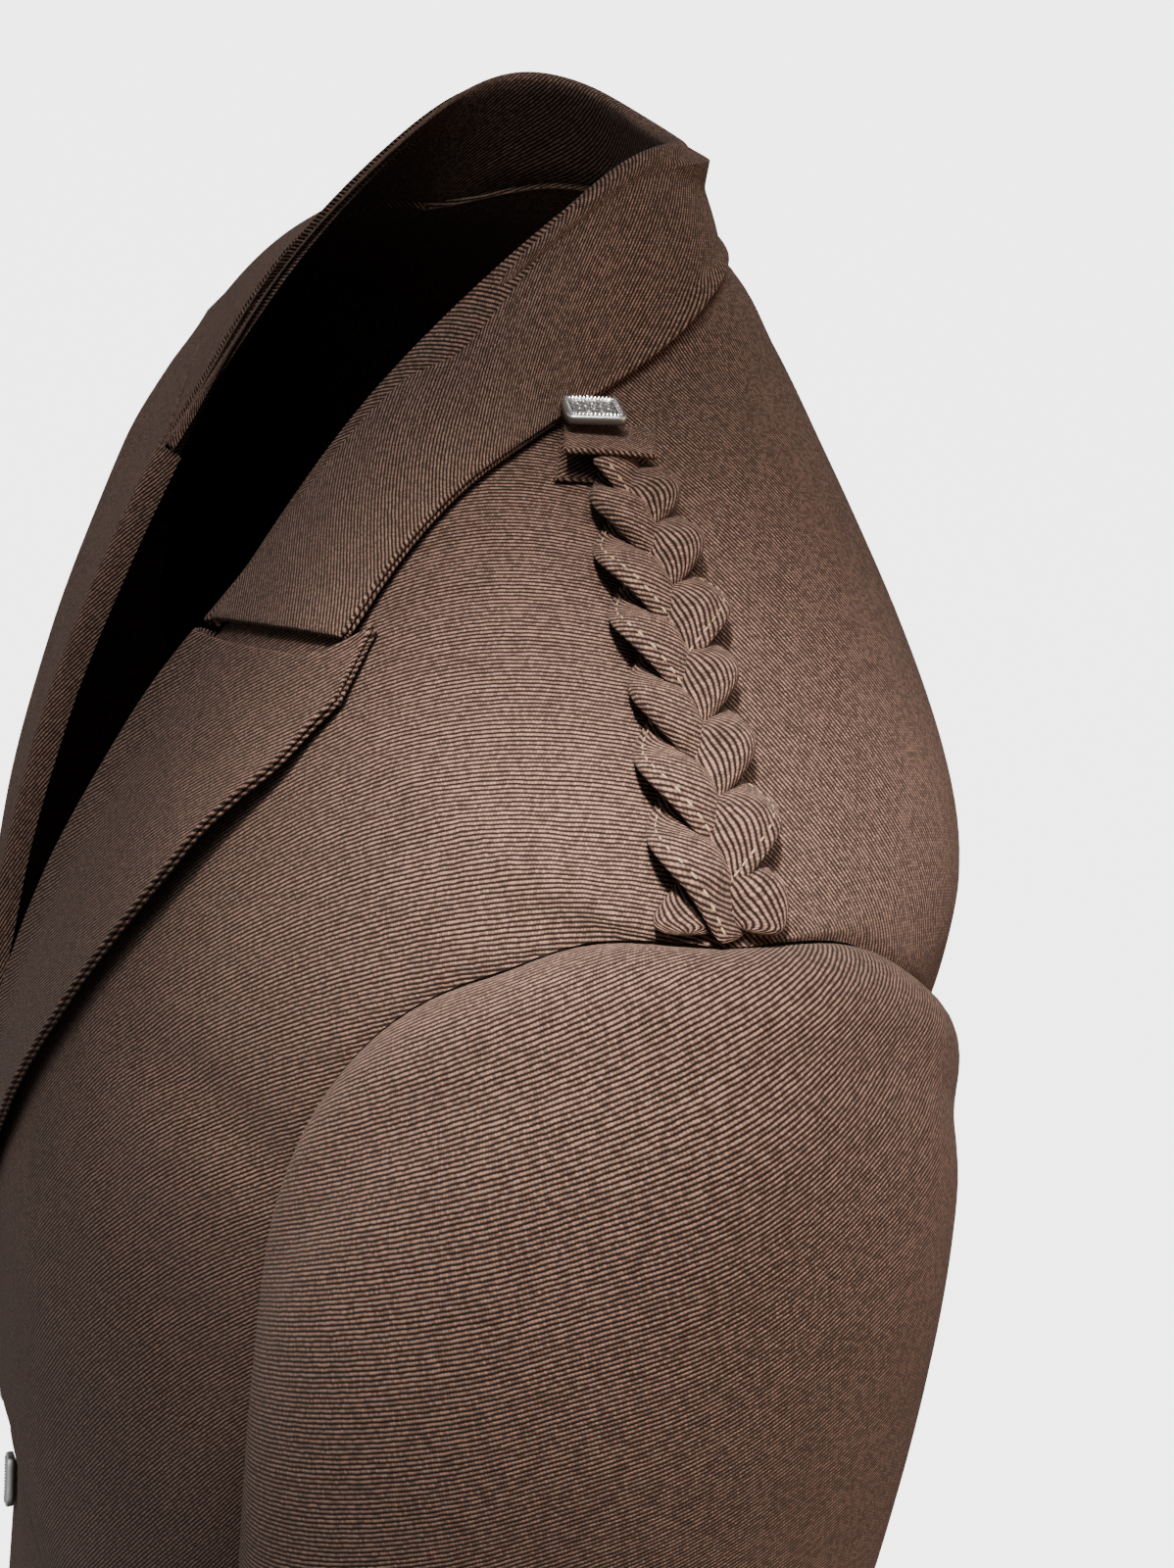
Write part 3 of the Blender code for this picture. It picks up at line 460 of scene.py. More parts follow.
def spread(low, high, count, near=(0.0035, 0.009, 0.018, 0.032)):
    """Even steps from low to high with a few closer ones at both ends."""
    inner = np.linspace(0.05, 0.95, count)
    shares = np.concatenate([[0.0], near, inner, 1 - np.array(near[::-1]), [1.0]])
    return low + (high - low) * shares


def grid_normals(points):
    """Cross product of the central differences along both axes of the grid."""
    return unit(np.cross(np.gradient(points, axis=0), np.gradient(points, axis=1)))


def grid_faces(rows, columns, wrap=False):
    index = np.arange(rows * columns).reshape(rows, columns)
    after = np.roll(index, -1, axis=1) if wrap else index[:, 1:]
    index = index if wrap else index[:, :-1]
    return np.stack([index[:-1], after[:-1], after[1:], index[1:]], axis=-1).reshape(-1, 4)


def face_normals(points, faces):
    """Cross product of each face's diagonals: its normal, twice its area long."""
    corner = points.reshape(-1, 3)[faces]
    return np.cross(corner[:, 2] - corner[:, 0], corner[:, 3] - corner[:, 1])


def end_caps(rows, columns, count):
    """Triangles that close a tube's two ends; their two middles follow the points of its grid."""
    start, last = rows * columns, (rows - 1) * columns
    steps = [(i, (i + 1) % columns) for i in range(count)]
    return [[start, b, a] for a, b in steps] + [[start + 1, last + a, last + b] for a, b in steps]


def dressed(item, material, node=None):
    """Give a piece its material, ride it on the root, and hide the CAD part that it stands for."""
    item.data.materials.append(material)
    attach(item, "root")
    if node:
        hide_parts(node)


def make_mesh(name, vertices, faces, uv=None, sharp=55):
    """An object from arrays, smooth shaded with edges sharp beyond an angle, and with its flat map if one
    is given.
    """
    mesh = bpy.data.meshes.new(name)
    mesh.from_pydata(vertices.tolist(), [], faces.tolist() if hasattr(faces, "tolist") else faces)
    if uv is not None:
        loops = np.empty(len(mesh.loops), np.int32)
        mesh.loops.foreach_get("vertex_index", loops)
        layer = mesh.uv_layers.new(name="cut")
        layer.data.foreach_set("uv", uv[loops].astype(np.float32).ravel())
    mesh.shade_smooth()
    mesh.set_sharp_from_angle(angle=math.radians(sharp))
    item = bpy.data.objects.new(name, mesh)
    bpy.context.scene.collection.objects.link(item)
    return item


def laid_flat(points, normals):
    """The cut of a piece: the grid unwrapped with the least stretch, scaled to the cloth's own
    area, and turned so that it runs down the page."""
    rows, columns = points.shape[:2]
    faces = grid_faces(rows, columns)
    facing = face_normals(points, faces)
    if (facing * normals.reshape(-1, 3)[faces[:, 0]]).sum() < 0:
        faces = faces[:, ::-1]
    mesh = bpy.data.meshes.new("cutting")
    mesh.from_pydata(points.reshape(-1, 3).tolist(), [], faces.tolist())
    item = bpy.data.objects.new("cutting", mesh)
    bpy.context.scene.collection.objects.link(item)
    for other in bpy.context.selected_objects:
        other.select_set(False)
    bpy.context.view_layer.objects.active = item
    item.select_set(True)
    bpy.ops.object.mode_set(mode="EDIT")
    bpy.ops.mesh.select_all(action="SELECT")
    bpy.ops.uv.unwrap(method="MINIMUM_STRETCH", margin=0.0)
    bpy.ops.object.mode_set(mode="OBJECT")
    loops = np.empty(len(mesh.loops), np.int32)
    mesh.loops.foreach_get("vertex_index", loops)
    values = np.empty(len(mesh.loops) * 2, np.float32)
    mesh.uv_layers[0].data.foreach_get("uv", values)
    uv = np.zeros((rows * columns, 2))
    uv[loops] = values.reshape(-1, 2)
    bpy.data.objects.remove(item)
    bpy.data.meshes.remove(mesh)
    flat = uv[faces]
    first, second = flat[:, 2] - flat[:, 0], flat[:, 3] - flat[:, 1]
    signed = (first[:, 0] * second[:, 1] - first[:, 1] * second[:, 0]).sum() / 2
    area = np.linalg.norm(facing, axis=1).sum() / 2
    uv *= math.sqrt(area / abs(signed))
    uv[:, 0] *= np.sign(signed)
    grid = uv.reshape(rows, columns, 2)
    down = (grid[1:] - grid[:-1]).sum(axis=(0, 1))
    grid = turned(grid, -math.pi / 2 - math.atan2(down[1], down[0]))
    return grid - grid.reshape(-1, 2).min(axis=0), area


def turned(flat, angle):
    """A flat map turned by an angle."""
    c, s = math.cos(angle), math.sin(angle)
    return flat @ np.array([[c, s], [-s, c]])


def cloth(name, node, outer, normals, thickness, grain, edges, held="hung", flat=None):
    """A wall of cloth on its solid's form: the grid, the grid a thickness behind it, and a rim
    between them. edges says how far the rim bulges at the first row, last column, last row and
    first column: 0 at a seam, half a sine where the edge is free, and two half sines, for two
    layers, if negative. The flat map is the cut, turned by the grain's angle."""
    rows, columns = outer.shape[:2]
    inner = outer - normals * thickness
    if flat is None:
        flat, area = laid_flat(outer, normals)
        size = np.ptp(flat.reshape(-1, 2), axis=0)
    else:
        area = np.linalg.norm(face_normals(outer, grid_faces(rows, columns)), axis=1).sum() / 2
        size = along_rows(outer)[1].max(), along_rows(outer.swapaxes(0, 1))[1].max()
    flat = turned(flat, math.radians(grain))
    count = rows * columns
    index = np.arange(count).reshape(rows, columns)
    stand = np.zeros((rows, columns))
    stand[0], stand[:, -1], stand[-1], stand[:, 0] = edges
    rim = np.concatenate([index[0, :-1], index[:-1, -1], index[-1, :0:-1], index[:0:-1, 0]])
    behind = np.concatenate([index[1, :-1], index[:-1, -2], index[-2, :0:-1], index[:0:-1, 1]])
    place, sheet = outer.reshape(-1, 3), flat.reshape(-1, 2)
    top, back = place[rim], inner.reshape(-1, 3)[rim]
    out, out_flat = unit(place[rim] - place[behind]), unit(sheet[rim] - sheet[behind])
    stand = stand.ravel()[rim]
    loops, loops_flat = [], []
    shares = np.linspace(0, 1, 9)[1:-1]
    for share in shares:
        single, double = math.sin(math.pi * share), abs(math.sin(2 * math.pi * share)) ** 0.7
        bulge = np.where(stand >= 0, stand * single, -stand * double)[:, None]
        loops.append(top + (back - top) * share + out * bulge)
        loops_flat.append(sheet[rim] + out_flat * thickness * share)
    vertices = np.concatenate([place, inner.reshape(-1, 3)] + loops)
    uv = np.concatenate([sheet, sheet] + loops_flat)
    faces = grid_faces(rows, columns)
    ring_index = np.arange(len(rim))
    chain = [rim] + [2 * count + k * len(rim) + ring_index for k in range(len(shares))]
    chain.append(rim + count)
    strips = [
        np.stack([np.roll(a, -1), a, b, np.roll(b, -1)], axis=-1)
        for a, b in zip(chain[:-1], chain[1:])
    ]
    outward = (face_normals(place, faces) * normals.reshape(-1, 3)[faces[:, 0]]).sum() > 0
    faces = np.concatenate([faces, faces[:, ::-1] + count] + strips)
    item = make_mesh(name, vertices, faces if outward else faces[:, ::-1], uv)
    dressed(item, twill(), node)


def towards(points, outward):
    """Normals of the grid on the side of the given directions."""
    normals = grid_normals(points)
    return normals * np.sign((normals * outward).sum())


def relaxed(points, height):
    """The grid with its crease at the shoulder's height softened: each point there is drawn
    towards the mean of its four neighbours, less near the grid's edges."""
    points = points.copy()
    rows, columns = np.indices(height.shape)
    edge = np.minimum(np.minimum(rows, height.shape[0] - 1 - rows),
                      np.minimum(columns, height.shape[1] - 1 - columns))
    near = np.exp(-(((height + SHOULDER_DROP) / RELAX_SPAN) ** 2))
    weight = RELAX_WEIGHT * near * smooth((edge - 3) / 4)
    for _ in range(RELAX):
        mean = (points[:-2, 1:-1] + points[2:, 1:-1] + points[1:-1, :-2] + points[1:-1, 2:]) / 4
        points[1:-1, 1:-1] += (mean - points[1:-1, 1:-1]) * weight[1:-1, 1:-1, None]
    return points


def set_in(normals, down, side):
    """The panel's wall directions, with those along the armhole shared with the sleeve."""
    rows = down <= UNDERARM_SHARE + 1e-9
    phi = side * np.pi * down[rows] / UNDERARM_SHARE
    normals[rows, -1] = seam_normals(phi, normals[rows, -1])
    return normals


def make_fronts():
    """Two fronts on the rings, with their folds and the lap of the left one."""
    down = np.concatenate([spread(0, UNDERARM_SHARE, 44), spread(UNDERARM_SHARE, 1, 52)[1:]])
    across = spread(0, 1, 46)
    turn, height = panel(FRONT_EDGE, 1, down, across)
    degrees = np.degrees(turn)
    calm = smooth((degrees - 2) / 14) * smooth((-height - 0.07) / 0.05)
    free = FREE_EDGE * smooth((down - BREAK_SHARE - 0.01) / 0.02)
    inside = smooth((1 - across) / 0.05) * smooth((degrees - 6) / 6)
    creases = inside * soft_lines(degrees, height, BRAID_CREASES, SHOULDER_DEGREE, 1.0)
    for (side, flip), shift in zip(MIRROR.items(), FRONT_SHIFTS):
        folds = calm * soft_lines(degrees + 220 * shift, height + shift, FRONT_FOLDS, BODY_DEGREE, 1.0)
        out = lap(turn, height) * (side == "left") + (folds + creases)
        base, normals = body(turn, height, out)
        dip = edge_dip(base, (True, False, False, True))
        points = base - normals * dip[..., None] - np.array([0, SEAM / 2, 0])
        cloth(f"front_{side}_cloth", f"front_{side}", points * flip, set_in(normals, down, 1) * flip,
              sizes().cloth, FRONT_GRAIN, (0, 0, FREE_EDGE, free))


def make_backs():
    """Two backs that meet in the centre back seam."""
    down = np.concatenate([spread(0, UNDERARM_SHARE, 44), spread(UNDERARM_SHARE, 1, 44)[1:]])
    turn, height = panel(BACK_EDGE, -1, down, spread(0, 1, 46))
    degrees = np.degrees(turn)
    calm = smooth((-degrees - 2) / 14) * smooth((-height - 0.03) / 0.04)
    for (side, flip), shift in zip(MIRROR.items(), BACK_SHIFTS):
        folds = calm * soft_lines(degrees - 200 * shift, height + shift, BACK_FOLDS, BODY_DEGREE, 1.0)
        base, normals = body(turn, height, folds)
        dip = edge_dip(base, (True, False, True, True))
        points = base - normals * dip[..., None] + np.array([SEAM / 2, SEAM / 2, 0])
        points = relaxed(points, height)
        cloth(f"back_{side}_cloth", f"back_{side}", points * flip, set_in(normals, down, -1) * flip,
              sizes().cloth, BACK_GRAIN, (0, 0, FREE_EDGE, 0))


def lapel_points(shares, columns, lapped):
    """Lapel: a hook round the front's edge, then a sheet out on the front, raised at the roll by
    the square of what is left to the roll's reach and at the edge by the square of the share."""
    faced = sizes().faced
    roll_share = GORGE_SHARE + (BREAK_SHARE - GORGE_SHARE) * shares
    roll_height = through(FRONT_EDGE, "height", roll_share)
    roll_turn = np.radians(through(FRONT_EDGE, "turn", roll_share))
    edge_height = through(LAPEL_EDGE, "height", shares)
    edge_turn = np.radians(through(LAPEL_EDGE, "turn", shares))
    c = columns[None, :]
    turn = roll_turn[:, None] + (edge_turn - roll_turn)[:, None] * c
    height = roll_height[:, None] + (edge_height - roll_height)[:, None] * c
    base = faced + LAPEL_GAP
    roll = np.maximum(through(LAPEL_STAND, "roll_height", shares), base)[:, None]
    lift = through(LAPEL_STAND, "edge_lift", shares)[:, None]
    under = lap(turn, height) * lapped
    out = under + base + (roll - base) * np.clip(1 - c / ROLL_REACH, 0, 1) ** 2 + lift * c**2
    points, normals = body(turn, height, out)
    outward = normals[:, :1]
    edge = points[:, :1] - outward * roll[..., None]
    toward = unit(np.cross(np.gradient(edge, axis=0), outward))
    toward *= np.sign((toward * (points[:, 1:2] - points[:, :1])).sum(axis=-1, keepdims=True))
    reach = faced + 2 * SEAM
    low, high = -sizes().cloth, roll[..., None]
    start = edge - toward * reach + outward * low
    bend = edge - toward * reach * 1.05 + outward * high * 1.02
    end = points[:, :1]
    hook = [bent(start, bend, end, t) for t in HOOK_SHARES]
    return np.concatenate(hook + [points], axis=1)


def make_lapels():
    """Two lapels, folded back on the fronts."""
    shares = spread(0.003, 0.975, 76, (0.001, 0.003, 0.007, 0.015))
    columns = spread(0, 1, 30)
    shown = slice(len(HOOK_SHARES) + 3, None)
    for side, flip in MIRROR.items():
        points = lapel_points(shares, columns, side == "left") * flip
        outward = np.zeros(points.shape)
        outward[:, shown] = points[:, shown] - np.array([0.0, 0.05, -0.25])
        cloth(f"lapel_{side}_cloth", f"lapel_{side}", points, towards(points, outward),
              sizes().faced, LAPEL_GRAIN, (-0.0006, -0.0008, 0.0004, 0.0), held="folded")


def neck_height(turn):
    """Height of the panels' neck edge at a turn in degrees, read from the two edge tables."""
    shares = np.linspace(0, 1, 200)
    back, front = shares[::-1] * NECK_SHARE, shares * GORGE_SHARE
    turns = [through(BACK_EDGE, "turn", back), through(FRONT_EDGE, "turn", front)]
    heights = [through(BACK_EDGE, "height", back), through(FRONT_EDGE, "height", front)]
    return np.interp(turn, np.concatenate(turns), np.concatenate(heights))


def eased(points, passes):
    """Each row drawn to a quarter, a half and a quarter of itself and its neighbours."""
    points = points.copy()
    for _ in range(passes):
        points[1:-1] = (points[:-2] + 2 * points[1:-1] + points[2:]) / 4
    return points


def collar_half(shares):
    """Collar: a straight stand from the seam, an arc over the fold, and a parabola down to the
    outer edge, kept clear of the body."""
    faced = sizes().faced
    seam_turn = through(COLLAR_SEAM, "turn", shares)
    seam, _ = body(np.radians(seam_turn), neck_height(seam_turn), SEAM)
    fold = np.stack([through(COLLAR_FOLD, column, shares) for column in "xyz"], axis=-1)
    edge_turn = np.radians(through(COLLAR_EDGE, "turn", shares))
    edge, edge_normal = body(edge_turn, through(COLLAR_EDGE, "height", shares), faced + SEAM)
    outward = unit(edge - seam)
    upward = unit(fold - seam)
    upward = unit(upward - outward * (upward * outward).sum(axis=-1, keepdims=True))
    r = FOLD_RADIUS
    inner, outer = fold - (outward + upward) * r, fold + (outward - upward) * r
    seam = seam - unit(inner - seam) * STAND_TUCK
    stand = [seam + (inner - seam) * t for t in np.linspace(0, 1, STAND_STEPS)]
    arc = [
        fold - upward * r + outward * (r * math.sin(a)) + upward * (r * math.cos(a))
        for a in np.radians(np.linspace(-72, 72, ARC_STEPS))
    ]
    reach = outer + (edge - outer) * 0.5 + edge_normal * FALL_SPRING
    falling = np.concatenate([np.linspace(0, 0.94, FALL_STEPS), [0.965, 0.985, 1.0]])
    fall = [bent(outer, reach, edge, t) for t in falling]
    return np.stack(stand + arc + fall, axis=1)


def both_halves(left):
    """The right half's rows, mirrored from the left's, and then the left's."""
    return np.concatenate([left[:0:-1] * MIRROR["right"], left])


def make_collar():
    """One collar round the neck, from gorge to gorge. The halves' rows are eased along it. Its
    flat map is the running length along the fold and the running length across from it."""
    shares = np.concatenate([np.linspace(0, 0.94, 84), np.linspace(0.95, 0.987, 9)])
    left = collar_half(shares)
    left[:, 1:] = eased(both_halves(left), COLLAR_EASE)[len(left) - 1:, 1:]
    fall = slice(FALL_FIRST, None)
    for passes in (FALL_EASE, 0):
        left[:, fall] = clear_of_body(left[:, fall], sizes().faced + 5 * SEAM)
        left[:, fall] = eased(both_halves(left), passes)[len(left) - 1:, fall]
    whole = both_halves(left)
    outward = np.zeros(whole.shape)
    shown = slice(FALL_FIRST + 3, None)
    outward[:, shown] = whole[:, shown] - np.array([0.0, -0.01, -0.05])
    fold = STAND_STEPS + ARC_STEPS // 2
    along = along_rows(whole[:, fold][None])[0][0]
    across = along_rows(whole)[0]
    along = (along - along[-1] / 2)[:, None]
    flat = np.stack(np.broadcast_arrays(along, across - across[:, fold:fold + 1]), axis=-1)
    cloth("collar_cloth", "collar", whole, towards(whole, outward), sizes().faced, 0.0,
          (-0.0005, -0.0007, -0.0005, 0.0), held="folded", flat=flat)


def ring(row, phi):
    """Level superellipse of power 2.2 round a ring's centre."""
    x, y, z, across, along = row
    c, s = np.cos(phi), np.sin(phi)
    radius = superellipse(c, s, RING_POWER)
    return np.stack([x + across * radius * c, y - along * radius * s, z + 0 * c], axis=-1)


def sleeve_point(phi, share):
    """Sleeve: for each phi a cubic Bezier from the armhole to the upper ring, and below it a
    parabola through the upper, elbow and cuff rings."""
    turn, height = armhole(phi)
    start, outward = body(turn, height)
    upper = ring(UPPER_RING, phi)
    upper[..., 2] += RING_TILT * np.cos(phi)
    rise = 0.5 + 0.5 * np.cos(phi)
    lift = CAP_RISE / CAP_REACH * np.clip(np.cos(phi), 0, 1) - 0.9 * (1 - rise)
    spring = np.stack([0.35 + 0.65 * rise, -0.25 * np.sin(phi), lift], axis=-1)
    start = start + unit(spring) * SEAM + outward * (UNDERARM_CLEAR * (1 - rise))[..., None]
    first = start + spring * (CAP_REACH * (0.35 + 0.65 * rise))[..., None]
    second = upper.copy()
    second[..., 2] += 0.45 * np.linalg.norm(upper - start, axis=-1)
    t = np.clip(share, 0, 1)[..., None]
    cap = (1 - t) ** 3 * start + 3 * (1 - t) ** 2 * t * first
    cap = cap + 3 * (1 - t) * t * t * second + t**3 * upper
    elbow, cuff = ring(ELBOW_RING, phi), ring(CUFF_RING, phi)
    b = np.clip(share - 1, 0, 2)[..., None]
    lower = upper * (b - 1) * (b - 2) / 2 - elbow * b * (b - 2) + cuff * b * (b - 1) / 2
    return np.where(share[..., None] <= 1, cap, lower)


def sleeve(phi, share):
    """Points and outward normals of the left sleeve, the normals from steps round and down."""
    phi, share = np.broadcast_arrays(phi, share)
    step = 1e-3
    points = sleeve_point(phi, share)
    around = sleeve_point(phi + step, share) - sleeve_point(phi - step, share)
    inside = np.clip(share, step, 3 - step)
    down = sleeve_point(phi, inside + step) - sleeve_point(phi, inside - step)
    return points, unit(np.cross(around, down))


def seam_normals(phi, own):
    """Directions of the wall at the armhole: both pieces share one where they run on smoothly,
    and each keeps its own where they meet at a sharp angle."""
    turn, height = armhole(phi)
    panel_normal = body(turn, height)[1]
    sleeve_normal = sleeve(phi, 0.0 * phi)[1]
    facing = (panel_normal * sleeve_normal).sum(axis=-1, keepdims=True)
    shared = (panel_normal + sleeve_normal) / np.maximum(1 + facing, 0.2)
    return own + (shared - own) * smooth((facing - 0.1) / 0.4)


def make_sleeves():
    """Top and under sleeves, with the roll of the sleeve head and the creases of the arm."""
    shares = np.concatenate([spread(0, 1, 40, (0.004, 0.012, 0.024, 0.037)),
                             spread(1, 3, 70, (0.001, 0.002, 0.003, 0.004))[1:]])[:, None]
    spans = (("sleeve_top", BACK_SEAM_TURN, FRONT_SEAM_TURN, 64),
             ("sleeve_under", FRONT_SEAM_TURN, 360 + BACK_SEAM_TURN, 34))
    for piece, first, last, count in spans:
        turns = spread(first + SLEEVE_SEAM_TURN, last - SLEEVE_SEAM_TURN, count)
        phi = np.radians(turns)
        base, normals = sleeve(phi[None, :], shares)
        at_top = smooth((100 - np.abs(turns)) / 40)
        head = HEAD_ROLL * np.exp(-(((shares - HEAD_SHARE) / HEAD_SPAN) ** 2)) * at_top
        head = head - HEAD_DIP * np.exp(-(((shares - DIP_SHARE) / DIP_SPAN) ** 2)) * at_top
        dip = edge_dip(base, (True, False, True, True))
        walls = normals.copy()
        walls[0] = seam_normals(phi, normals[0])
        for (side, flip), shift in zip(MIRROR.items(), SLEEVE_SHIFTS):
            folds = sum(
                soft_lines(turns + wrap + 60 * shift, shares + shift, SLEEVE_FOLDS,
                           SLEEVE_DEGREE, SLEEVE_LENGTH)
                for wrap in (0, -360)
            ) * smooth((shares - 0.35) / 0.4) * smooth((3.0 - shares) / 0.25)
            points = base + normals * (head + folds - dip)[..., None]
            cloth(f"{piece}_{side}_cloth", f"{piece}_{side}", points * flip, walls * flip,
                  sizes().cloth, SLEEVE_GRAIN, (0, 0, FREE_EDGE, 0))


def shoulder_line(x):
    """Points and normals of the shoulder seam at the given half widths."""
    height = np.interp(x, [NECK_HALF, SHOULDER_HALF], [0.0, -SHOULDER_DROP])
    return body(0 * x, height)


def strand_rings(strand, share, around):
    """One strand: its middle goes sin of the turn to the side and 1 + sin of twice the turn up.
    Its rings stand square to it, roll with cos of the turn and swell where it lies on top; a
    bell round one side makes the sewn hem. Both ends run down and close."""
    s = sizes()
    base, up = shoulder_line(BRAID_START + (BRAID_END - BRAID_START) * share)
    angle = 2 * np.pi * (PLAIT_TURNS * share + PLAIT_PHASE + strand / STRANDS)
    on_top = 0.5 + 0.5 * np.sin(2 * angle)
    at_seam, at_tab = smooth((0.06 - share) / 0.08), smooth((share - 0.90) / 0.08)
    lean = through(BRAID_LEAN, "back", share)
    swing = (s.braid - s.strand) / 2 * np.sin(angle) * (1 + 0.15 * at_seam - 0.25 * at_tab) + lean
    lift = (STRAND_LOW + STRAND_RISE * on_top) * (1 - 0.5 * at_seam - 0.22 * at_tab)
    path = base + swing[:, None] * np.array([0.0, 1.0, 0.0]) + lift[:, None] * up
    tangent = unit(np.gradient(path, axis=0))
    across = unit(np.cross(tangent, up))
    normal = np.cross(across, tangent)
    roll = math.radians(STRAND_ROLL) * np.cos(angle)
    c, w = np.cos(roll)[:, None], np.sin(roll)[:, None]
    across, normal = across * c + normal * w, normal * c - across * w
    ends = np.minimum(share - share[0], share[-1] - share) / 0.02
    close = np.sqrt(1 - (1 - np.clip(ends, 0.03, 1)) ** 2)
    width = s.strand * (0.82 + 0.24 * on_top + 0.16 * at_seam) * close
    thick = s.plump * (0.72 + 0.38 * on_top) * (1 - 0.4 * at_seam - 0.15 * at_tab) * close
    c, w = np.cos(around)[None], np.sin(around)[None]
    side = HEM_SIDES[strand]
    hem = HEM_REACH * side * np.exp(-((np.arccos(np.clip(side * c, -1, 1)) / HEM_SPREAD) ** 2))
    pucker = 1 + 0.035 * np.sin(2 * np.pi * 19 * share[:, None] + 2.4 * c + strand)
    wide = width[:, None] / 2 * np.sign(c) * np.abs(c) ** 0.9 + hem * close[:, None]
    high = thick[:, None] / 2 * np.sign(w) * np.abs(w) ** 0.75 * pucker
    return path[:, None] + wide[..., None] * across[:, None] + high[..., None] * normal[:, None]


def tube(name, rings, uv_rows, uv_around):
    """A closed tube through rings, with its own flat map."""
    stations, sides = rings.shape[:2]
    rings = np.concatenate([rings, rings[:, :1]], axis=1)
    v = np.concatenate([rings.reshape(-1, 3), rings[:1, :-1].mean(axis=1), rings[-1:, :-1].mean(axis=1)])
    faces = grid_faces(stations, sides + 1)
    u, w = np.meshgrid(uv_around, uv_rows)
    uv = np.concatenate([np.stack([u, w], axis=-1).reshape(-1, 2), [[0, 0]], [[0, 0]]])
    middle = np.repeat(rings[:, :-1].mean(axis=1), sides + 1, axis=0)[faces[:, 0]]
    inwards = (face_normals(v, faces) * (v[faces].mean(axis=1) - middle)).sum() < 0
    faces = faces.tolist() + end_caps(stations, sides + 1, sides)
    if inwards:
        faces = [face[::-1] for face in faces]
    return make_mesh(name, v, faces, uv, 80)


def stitches(name, centres, tangents, normals, length, width, material):
    """Short threads: an ellipsoid of six by four faces on each centre, long along its tangent."""
    around = np.linspace(0, 2 * np.pi, 6, endpoint=False)
    rise = np.radians([-70, -25, 25, 70])
    tangents, normals = unit(tangents), unit(normals)
    across = np.cross(normals, tangents)
    bodies = []
    for angle in rise:
        x = math.sin(angle) * length / 2
        r = math.cos(angle) * width / 2
        bodies.append(
            centres[:, None] + tangents[:, None] * x
            + across[:, None] * (r * np.cos(around))[None, :, None]
            + normals[:, None] * (r * 0.7 * np.sin(around))[None, :, None]
        )
    v = np.stack(bodies, axis=1)
    count = len(centres)
    quads = grid_faces(4, 6, wrap=True)
    offset = (np.arange(count) * 24)[:, None, None]
    faces = (quads[None] + offset).reshape(-1, 4).tolist()
    low, high = np.arange(6)[::-1], np.arange(18, 24)
    faces += (low[None] + offset[:, 0]).tolist() + (high[None] + offset[:, 0]).tolist()
    dressed(make_mesh(name, v.reshape(-1, 3), faces, None, 80), material)


def make_epaulettes():
    """Three padded tubes plaited along each shoulder, their stitching, and the folded tab."""
    s = sizes()
    material, thread = twill(), stitching()
    share = np.linspace(-0.02, 1.045, 220)
    around = np.linspace(-0.5 * np.pi, 1.5 * np.pi, STRAND_SIDES, endpoint=False)
    for side, flip in MIRROR.items():
        centres, tangents, normals = [], [], []
        for strand in range(STRANDS):
            rings = strand_rings(strand, share, around)
            path = rings.mean(axis=1)
            run = np.concatenate([[0], np.cumsum(np.linalg.norm(np.diff(path, axis=0), axis=1))])
            girth = np.linalg.norm(rings - np.roll(rings, 1, axis=1), axis=-1).sum(axis=1).mean()
            name = f"epaulette_{side}_strand_{strand + 1}"
            item = tube(name + "_cloth", rings * flip, run, np.linspace(0, girth, len(around) + 1))
            dressed(item, material, name)
            line = rings[:, STITCH_FRONT if HEM_SIDES[strand] > 0 else STITCH_BACK]
            at = np.arange(s.stitch * 2, run[-1] - s.stitch * 2, s.stitch * 1.4)
            spot, ahead, middle = [
                np.stack([np.interp(at + shift, run, rows[:, i]) for i in range(3)], axis=-1)
                for shift, rows in ((0, line), (3e-4, line), (0, path))
            ]
            outward = unit(spot - middle)
            centres.append(spot + outward * 0.0001)
            tangents.append(ahead - spot)
            normals.append(outward)
        stitches(f"epaulette_{side}_stitching", np.concatenate(centres) * flip,
                 np.concatenate(tangents) * flip, np.concatenate(normals) * flip,
                 s.stitch, 0.00055, thread)
        make_tab(side, flip)


def make_tab(side, flip):
    """Tab: flat along the shoulder, half round at the fold, and back on top, rising to its mouth
    by the table, with the top crowned by 1 - v squared across. It skews back along its length."""
    length = TAB_OUTER - TAB_FOLD - TAB_RADIUS
    arc = np.radians(np.linspace(0, 180, 15))[1:-1]
    out, back = np.linspace(0, length, 12), np.linspace(1, 0, 26)
    along = np.concatenate([out, length + TAB_RADIUS * np.sin(arc), length * back])
    above = np.concatenate([0 * out, TAB_RADIUS * (1 - np.cos(arc)), through(TAB_TOP, "height", back)])
    base, up = shoulder_line(TAB_OUTER - along)
    across = np.linspace(-1, 1, 26)
    crown = np.concatenate([np.zeros(len(out) + len(arc)), 1 - back**2])
    crown = TAB_CROWN * (1 - across**2)[:, None] * crown
    middle = TAB_BACK + TAB_SKEW * along / length
    points = base[None] + (SEAM + above + crown)[..., None] * up[None]
    points[..., 1] += middle + across[:, None] * TAB_WIDTH / 2
    points = points * flip
    cloth(f"epaulette_{side}_tab_cloth", f"epaulette_{side}_tab", points,
          towards(points, points - points.mean(axis=(0, 1))), TAB_WALL, 0.0,
          (0.0004, 0.0004, 0.0004, 0.0004), held="folded")


